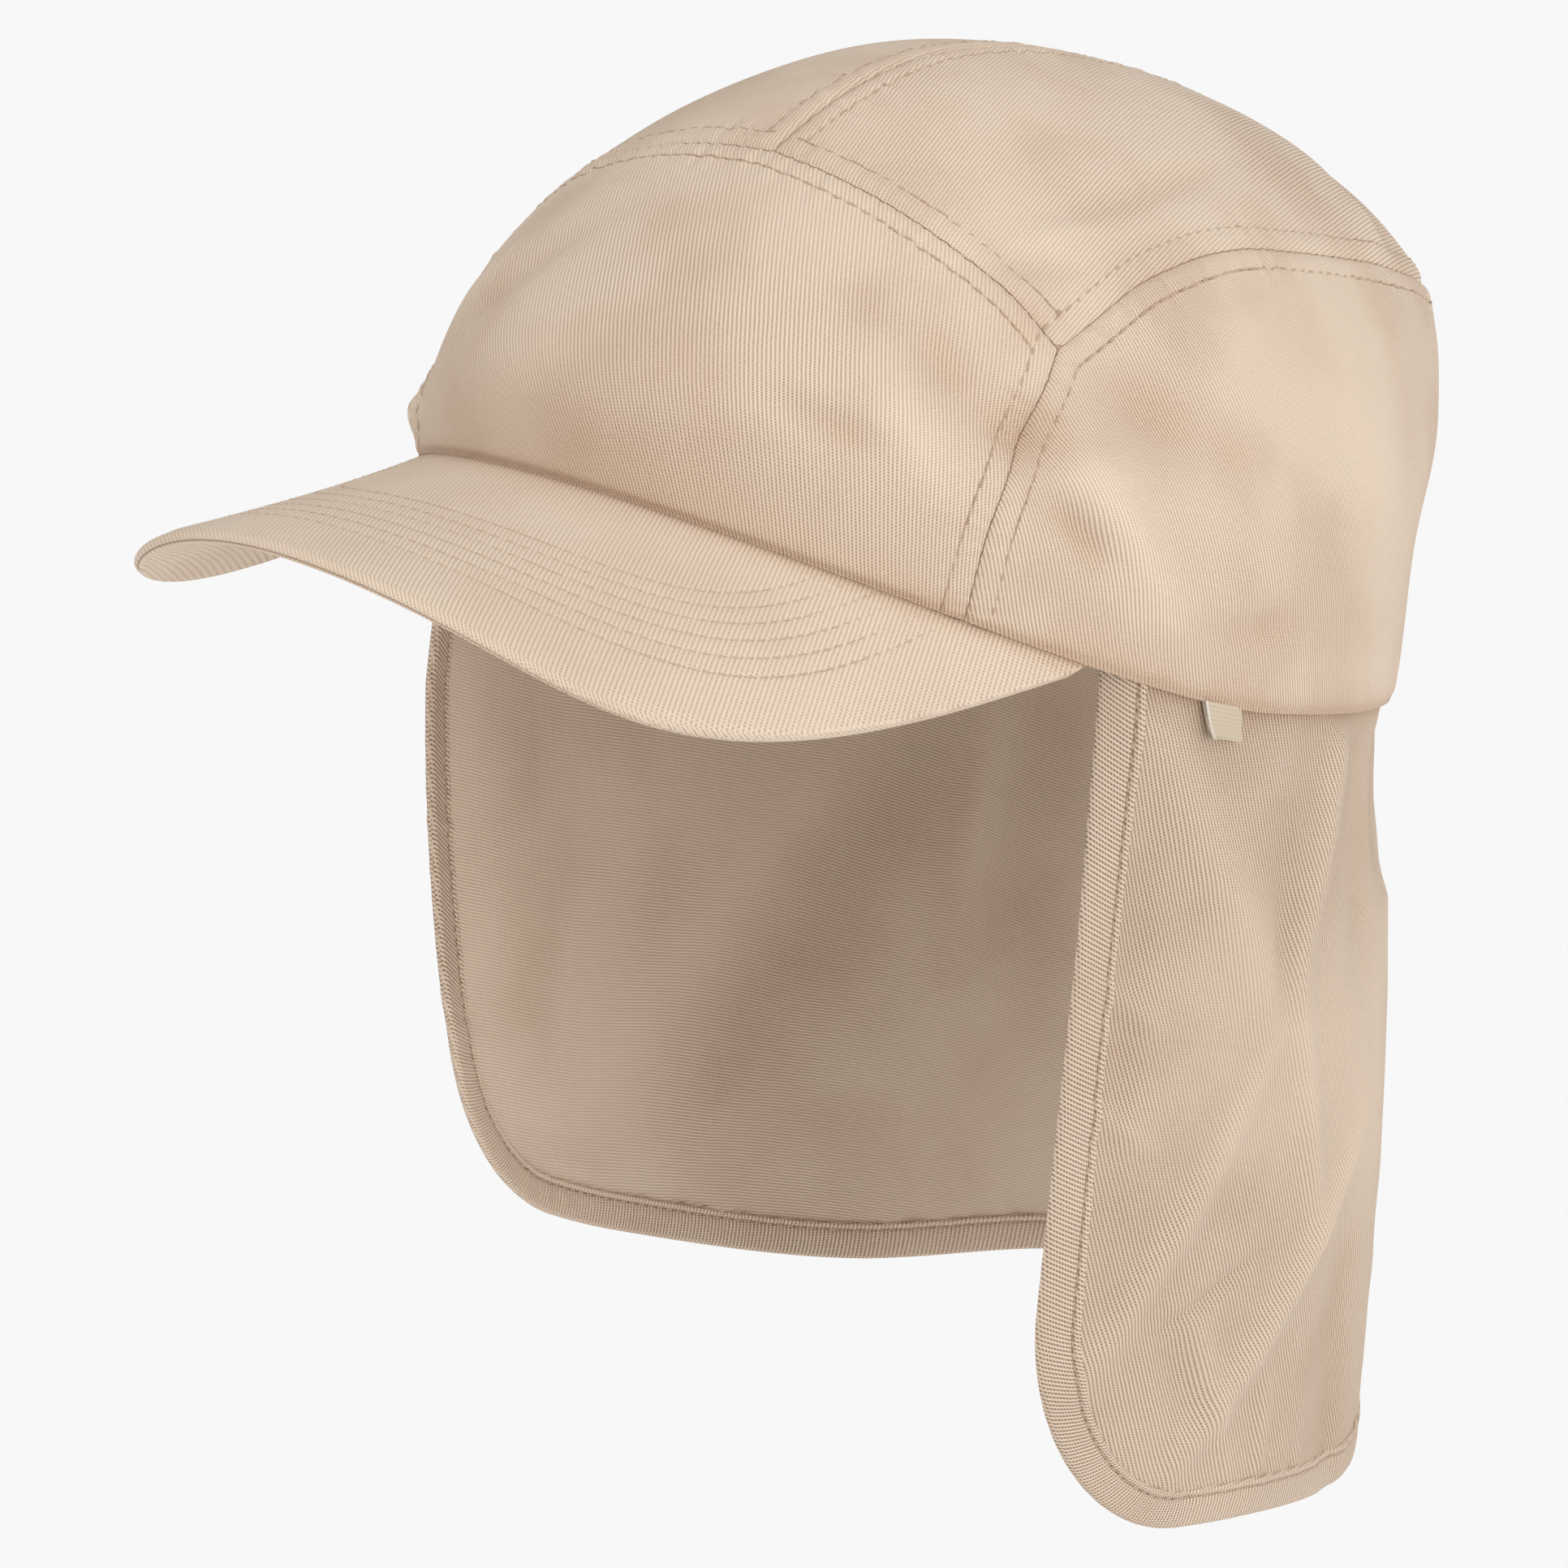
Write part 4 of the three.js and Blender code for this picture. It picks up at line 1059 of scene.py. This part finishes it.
def flap_base(place, share):
    """The flap's hang without its folds: place -1 right front edge to 1 left, share 0 to 1 downwards."""
    front = np.where(place > 0, flap_front_angles[1], flap_front_angles[-1])
    angle = 180 - place * (180 - front)
    rise = np.degrees(np.maximum(-share, 0) * flap_drop / crown_height)
    base = crown_base(angle, rise)
    t = np.maximum(share, 0)
    from_front = np.abs(angle - 360 * (angle > 180))
    behind = np.clip((peak_half_angle + peak_clear_angle - from_front) / peak_clear_ease, 0, 1)
    room = peak_seat + 0.5 * peak_wall + 0.5 * (binding_wall - flap_wall)
    tucked = crown_wall + piece_gap + room * behind * np.maximum(1 - t / peak_clear_share, 0)
    top = lean(base - unit(base * (1, 1, 0)) * tucked[..., None])
    places, drop, aside, rearward, _ = flap_rows
    bottom = -curve(places, drop, place) * flap_drop
    x = top[..., 0] + curve(places, aside, place) * flap_drop * t
    y = top[..., 1] + curve(places, rearward, place) * flap_drop * t
    return np.stack([x, y, top[..., 2] + (bottom - top[..., 2]) * t], -1)


def flap_fold(place, share):
    """How far folds, gathers and belly push the flap out from its plain hang."""
    total = np.zeros(np.shape(place))
    down = np.maximum(share, 0)
    for head, foot, start, end, half, height in flap_folds:
        t = np.clip((share - start) / (end - start), 0, 1)
        d = (place - head - (foot - head) * t) / half
        total += height * fold_height * np.exp(-d * d) * np.sin(np.pi * t) ** fold_bluntness
    near = np.maximum(0, 1 - down / gather_reach) * np.minimum(1, down / gather_start)
    band = np.maximum(0, 1 - (np.abs(place) / gather_span) ** gather_span_sharpness)
    total += gather_height * near * band * np.sin(place * gather_count * np.pi)
    belly = curve(flap_rows[0], flap_rows[4], place)
    total += belly * fold_height * np.sin(np.pi * np.clip(share, 0, 1))
    return total * np.minimum(1, down / fold_start)


def flap_point(place, share, depth, extra=0.0):
    """Point of the flap at a depth below its outer face, with the outward direction there."""
    step = 0.01
    across = flap_base(place - step, share) - flap_base(place + step, share)
    low = np.maximum(share, step)
    down = flap_base(place, low + step) - flap_base(place, low)
    normal = unit(np.cross(down, across))
    base = flap_base(place, share)
    facing = np.sum(normal * base * (1, 1, 0), axis=-1, keepdims=True)
    normal = normal * np.where(facing < 0, -1, 1)
    lift = flap_fold(place, share) - depth + extra
    return base + normal * lift[..., None], normal


def flap_tall(place):
    """Straight length of the flap from the crown down to its foot."""
    ends = flap_base(place, np.zeros_like(place)) - flap_base(place, np.ones_like(place))
    return np.linalg.norm(ends, axis=-1)


run_points = 25


def flap_run(hand):
    """Length of the flap's upper edge from the middle of the back to one front edge."""
    line = flap_base(hand * np.linspace(0, 1, run_points), np.zeros(run_points))
    return np.sum(np.linalg.norm(np.diff(line, axis=0), axis=1))


# Columns: steps along the free edge, stretch reached: 1 front edge, 2 corner, 3 foot
edge_pace_rows = np.array([(0, 0), (0.3, 1), (0.65, 2), (1, 3)], dtype=float).T


def flap_edge(hand, inset, count):
    """The free edge moved in by a width: down the front edge, round the corner, along the foot."""
    run = flap_run(hand)
    cw = corner_width / run
    ch = corner_height / flap_drop
    side = (1 - ch) * flap_drop
    corner = 0.5 * math.pi * math.sqrt((corner_width ** 2 + corner_height ** 2) / 2)
    foot = (1 - cw) * run

    def spot(s):
        pace = curve(*edge_pace_rows, s)
        d = np.where(pace < 1, pace * side, side + (pace - 1) * corner)
        d = np.where(pace < 2, d, side + corner + (pace - 2) * foot)
        a = np.clip((d - side) / corner, 0, 1) * np.pi / 2
        place = np.where(d < side, 1, 1 - cw + cw * np.cos(a))
        place = np.where(d < side + corner, place, (1 - cw) * (1 - (d - side - corner) / foot))
        share = np.where(d < side, d / flap_drop, 1 - ch + ch * np.sin(a))
        return place, np.where(d < side + corner, share, 1)

    s = np.linspace(0, 1, count + 1)
    step = 0.004
    place, share = spot(s)
    ahead = spot(np.minimum(s + step, 1))
    behind = spot(np.maximum(s - step, 0))
    tall = flap_tall(hand * place)
    dx = (ahead[0] - behind[0]) * run
    dy = (ahead[1] - behind[1]) * tall
    size = np.hypot(dx, dy)
    moved = place - dy / size * inset / run
    moved[-1] = 0
    return hand * moved, share + dx / size * inset / tall


flap_grid = (330, 150)
flap_edge_steps = 600
flap_inset = binding_width - binding_lap
flap_limits = {hand: flap_edge(hand, flap_inset, flap_edge_steps) for hand in (1, -1)}

# Share of the grid's rows that is tucked into the crown, and rounds in which its front edge settles
tuck_share = 0.035
settle_rounds = 6

# Puckers above the binding, shallow waves all over the cloth, and the shadow under the crown's hem
foot_pucker_reach = 0.009
foot_pucker_patch = 0.07
foot_pucker_height = 0.0005
foot_pucker_wave = 0.012
cloth_wave_height = 0.00035
cloth_wave_slant = 0.05
cloth_wave_across = 0.043
cloth_wave_down = 0.06
crown_shadow_depth = 2.8
crown_shadow_reach = 0.0007
crown_shadow_share = 0.35


def flap_place(a, b):
    """The flap's cloth: a from the right front edge to the left one, b from the tuck to the foot."""
    def foot(place):
        return 1 - flap_inset / flap_tall(place)

    def limit(hand, share):
        places, shares = flap_limits[hand]
        return np.interp(share, np.maximum.accumulate(shares), places)

    squeeze = np.maximum((b - tuck_share) / (1 - tuck_share), 0)
    ends = {hand: np.full_like(a, hand * (1 - corner_width / flap_run(hand))) for hand in (1, -1)}
    for _ in range(settle_rounds):
        for hand in (1, -1):
            ends[hand] = np.where(squeeze < 1, limit(hand, foot(ends[hand]) * squeeze), ends[hand])
    place = ends[-1] + (ends[1] - ends[-1]) * a
    share = foot(place) * squeeze + np.minimum(b / tuck_share - 1, 0) * flap_tuck / flap_drop
    run = np.where(place > 0, flap_run(1), flap_run(-1))
    tall = flap_tall(place)
    to_foot = (foot(place) - share) * tall
    patchy = 0.5 + 0.5 * uneven(place * run, foot_pucker_patch, seed=0.9)
    pucker = np.exp(-np.maximum(to_foot, 0) / foot_pucker_reach) * patchy
    extra = foot_pucker_height * pucker * uneven(place * run, foot_pucker_wave, seed=1.9)
    across = uneven(place * run + share * cloth_wave_slant, cloth_wave_across, seed=0.3)
    extra += cloth_wave_height * across * uneven(share * tall, cloth_wave_down, seed=1.1)
    # The fold attribute carries the folds, which the twill paints as highlight and shade, and the shadow
    # under the crown's hem
    fold = flap_fold(place, share) / fold_height
    points, _ = flap_point(place, share, np.zeros_like(a), extra)
    below_hem = np.abs(share) * tall * crown_shadow_share
    weave = np.stack([-place * run, -share * tall], -1)
    fold -= crown_shadow_depth * np.exp(-below_hem / crown_shadow_reach)
    return points, weave, fold, (np.ones_like(a), share * tall, below_hem)


flap = cloth_grid("neck_flap_cloth", *flap_grid, flap_place)
flap.data.materials.append(
    twill("flap_twill", flap_colour, flap_rosy, flap_rib, flap_tilt, flap_contrast))
flap.data.materials.append(
    twill("flap_twill_back", lining_colour, lining_rosy, lining_rib, lining_tilt, lining_contrast))
thicken(flap, flap_wall, flap_inside, inner_material=1)
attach(flap, "root")
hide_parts("neck_flap")


# Flap binding: a bias strip of the same twill folded over the flap's free edge and sewn through near
# its inner fold. The fold stands up as a small roll beside the stitches, on both faces.
binding_colour = (0.70, 0.565, 0.44)
binding_rosy = (0.63, 0.475, 0.36)
binding_rib = 0.0009
binding_tilt = 17
binding_contrast = 2.1
binding_merge = 0.000004
binding_steps = 560
binding_rows_round = 56
binding_stitch_line = 0.79
binding_stitch_length = 0.0022
binding_stitch_pitch = 0.0027
binding_thread_seat = 0.4
binding_thread_colour = (0.50, 0.37, 0.27)

# Ripples of the strip, strongest at its inner fold, in metres, and the painted highlight on its roll and
# the painted shade in its stitch furrow
strip_ripple = 0.00022
strip_ripple_wave = 0.0085
strip_patch_share = 0.6
strip_patch_wave = 0.09
strip_ripple_at_edge = 0.25
strip_ripple_ease = 8
roll_place = 0.91
roll_half_width = 0.05
roll_painted_highlight = 0.5
furrow_shade_half_width = 0.03

# Columns: share of the strip's width from its free edge, height over the cloth's middle, in metres
binding_form = np.array([
    (0, 0.0), (0.03, 0.0005), (0.1, 0.00095), (0.3, 0.0011), (0.6, 0.0011), (0.72, 0.00098),
    (0.79, 0.00072), (0.85, 0.00108), (0.92, 0.00122), (0.98, 0.0010), (1, 0.0006),
]).T

binding_edges = {}
binding_shares = np.linspace(0, 1, 15)
for hand in (1, -1):
    lines = [flap_edge(hand, s * binding_width, binding_steps) for s in binding_shares]
    binding_edges[hand] = (np.array([p for p, _ in lines]), np.array([s for _, s in lines]))
binding_places = np.concatenate([binding_edges[1][0], binding_edges[-1][0][:, -2::-1]], axis=1)
binding_levels = np.concatenate([binding_edges[1][1], binding_edges[-1][1][:, -2::-1]], axis=1)
strip_last = binding_places.shape[1] - 1
edge_spots, _ = flap_point(binding_places[0], binding_levels[0], np.zeros(strip_last + 1))
edge_run = np.concatenate([[0], np.cumsum(np.linalg.norm(np.diff(edge_spots, axis=0), axis=1))])


def binding_spot(step, width_share, side):
    """Point of the strip: step along it, share of its width, and 1 for its outer face or -1."""
    rows = width_share * (len(binding_shares) - 1)
    i = np.clip(rows.astype(int), 0, len(binding_shares) - 2)
    j = np.clip(np.round(step).astype(int), 0, strip_last)
    t = rows - i
    place = binding_places[i, j] * (1 - t) + binding_places[i + 1, j] * t
    level_share = binding_levels[i, j] * (1 - t) + binding_levels[i + 1, j] * t
    height = np.interp(width_share, *binding_form)
    run = edge_run[j]
    patchy = 1 - strip_patch_share + strip_patch_share * uneven(run, strip_patch_wave, seed=2.0)
    ripple = strip_ripple * uneven(run, strip_ripple_wave, seed=0.7) * patchy
    eased = np.minimum(width_share * strip_ripple_ease, 1)
    height = height + (strip_ripple_at_edge + width_share) * ripple * eased
    points, normal = flap_point(place, level_share, np.full_like(step, flap_wall / 2), side * height)
    return points, normal, run


def binding_place(a, b):
    """The folded strip: a along the free edge, b over the outer face and back along the inner one."""
    step = a * strip_last
    around = b * 2
    outer = around <= 1
    width_share = np.where(outer, around, 2 - around)
    points, _, run = binding_spot(step, width_share, np.where(outer, 1, -1))
    weave = np.stack([run, around * binding_width], -1)
    # Painted highlight along the roll and painted shade in the stitch furrow
    roll = np.exp(-((width_share - roll_place) / roll_half_width) ** 2) * roll_painted_highlight
    furrow = np.exp(-((width_share - binding_stitch_line) / furrow_shade_half_width) ** 2)
    from_row = np.abs(width_share - binding_stitch_line) * binding_width
    return points, weave, roll - furrow, (from_row, run, np.ones_like(a))


binding = cloth_grid("flap_binding_strip", strip_last, binding_rows_round, binding_place)
close_shell(binding, binding_merge)
binding_twill = twill("binding_twill", binding_colour, binding_rosy, binding_rib, binding_tilt,
                      binding_contrast, row_pitch=binding_stitch_pitch)
binding.data.materials.append(binding_twill)
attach(binding, "root")
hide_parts("flap_binding")

stitch_row_end = 4
binding_rows = []
strip_steps = np.arange(float(stitch_row_end), strip_last + 1 - stitch_row_end, 2)
for side in (1, -1):
    stitch_line = np.full_like(strip_steps, binding_stitch_line)
    line, normal, _ = binding_spot(strip_steps, stitch_line, np.full_like(strip_steps, side))
    binding_rows.append((line + normal * side * thread_radius * binding_thread_seat, normal * side))
binding_thread = thread_material("binding_thread", binding_thread_colour, hole_shade_colour)
sew("binding_stitching", binding_rows, binding_thread,
    binding_stitch_length, binding_stitch_pitch)


# Side label: a short woven ribbon folded double and caught in the crown's lower seam on the left. It is
# left bare. Its selvedge shows as a pale line down one side, and it stands a little off the flap.
label_width = 0.0096
label_drop = 0.0072
label_seat = 0.0002
label_angle = 80
label_wall = 0.00032
label_slant = 0.3
label_shift = 0.6
label_gape = 0.0009
label_gape_left = 0.35
label_stand = 0.0005
label_stand_foot = 0.0011
label_stand_corner = 0.0012
selvedge_inset = 0.0002
selvedge_half_width = 0.00016
label_rib = 0.0006
label_tilt = 90
label_contrast = 0.35
label_grid = (48, 60)
label_inside = Vector((0, 0, -0.02))
label_colour = (0.575, 0.477, 0.362)
selvedge_colour = (0.78, 0.77, 0.75)
label_place = (180 - label_angle) / (180 - flap_front_angles[1])


def label_sheet(a, b):
    """The ribbon: a across it, b down its outer leaf and up its inner one; they gape near the seam."""
    around = b * 2
    front = around <= 1
    down = np.where(front, around, 2 - around)
    share = (label_seat + label_drop * np.sin(down * np.pi / 2)) / flap_drop
    slant = (1 - a) * down * label_slant
    place = label_place + (0.5 - a - slant * label_shift) * label_width / flap_run(1)
    open_share = label_gape_left + (1 - label_gape_left) * (1 - a)
    gape = label_gape * np.sqrt(np.clip(1 - down, 0, 1)) * open_share
    stand = label_stand + label_stand_foot * down + label_stand_corner * down * (1 - a) ** 2
    lift = stand + np.where(front, gape + label_wall, 0)
    points, _ = flap_point(place, share, np.zeros_like(a), lift)
    weave = np.stack([a * label_width, around * label_drop], -1)
    selvedge = np.exp(-((a * label_width - selvedge_inset) / selvedge_half_width) ** 2)
    far_away = np.ones_like(a)
    return points, weave, selvedge, (far_away, far_away, far_away)


label = cloth_grid("side_label_ribbon", *label_grid, label_sheet)
thicken(label, label_wall, label_inside)
label_cloth = twill("label_weave", label_colour, label_colour, label_rib, label_tilt, label_contrast)
label_nodes, label_links = label_cloth.node_tree.nodes, label_cloth.node_tree.links
label_shader = label_nodes["Principled BSDF"]
selvedge = label_nodes.new("ShaderNodeMix")
selvedge.data_type = "RGBA"
label_links.new(label_nodes["Attribute"].outputs["Fac"], selvedge.inputs["Factor"])
label_links.new(label_shader.inputs["Base Color"].links[0].from_socket, selvedge.inputs[6])
selvedge.inputs[7].default_value = selvedge_colour + (1,)
label_links.new(selvedge.outputs[2], label_shader.inputs["Base Color"])
label.data.materials.append(label_cloth)
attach(label, "root")
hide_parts("side_label")


# Floor and light: a plain pale floor well below the cap, an even white surround and three wide,
# soft lamps so far away that they light the whole floor alike.
floor_depth = 1.2
floor_size = 16
floor_colour = (0.96, 0.96, 0.96)
bpy.ops.object.select_all(action="DESELECT")
bpy.ops.mesh.primitive_plane_add(size=floor_size, location=(0, 0, -floor_depth))
floor = bpy.context.object
floor.name = "floor"
floor_paint = bpy.data.materials.new("floor_paint")
floor_paint.use_nodes = True
floor_shader = floor_paint.node_tree.nodes["Principled BSDF"]
floor_shader.inputs["Base Color"].default_value = floor_colour + (1,)
floor_shader.inputs["Roughness"].default_value = 1
floor_shader.inputs["Specular IOR Level"].default_value = 0
floor.data.materials.append(floor_paint)

surround_colour = (1, 1, 1, 1)
surround_strength = 0.275
surround = bpy.data.worlds.new("studio")
bpy.context.scene.world = surround
surround.use_nodes = True
surround_light = surround.node_tree.nodes["Background"]
surround_light.inputs["Color"].default_value = surround_colour
surround_light.inputs["Strength"].default_value = surround_strength

# Columns: direction round the cap from its front, rise, width as an angle, strength
lamps = [
    (108, 38, 90, 1.25),
    (72, 13, 40, 0.95),
    (-25, 50, 90, 1.58),
]
for number, (turn, rise, width, strength) in enumerate(lamps):
    lamp_light = bpy.data.lights.new(f"lamp_{number}", "SUN")
    lamp_light.angle = math.radians(width)
    lamp_light.energy = strength
    lamp = bpy.data.objects.new(f"lamp_{number}", lamp_light)
    aside = Vector((math.sin(math.radians(turn)), -math.cos(math.radians(turn)), 0))
    lamp_from = aside * math.cos(math.radians(rise)) + Vector((0, 0, math.sin(math.radians(rise))))
    lamp.rotation_euler = lamp_from.to_track_quat("Z", "Y").to_euler()
    bpy.context.scene.collection.objects.link(lamp)
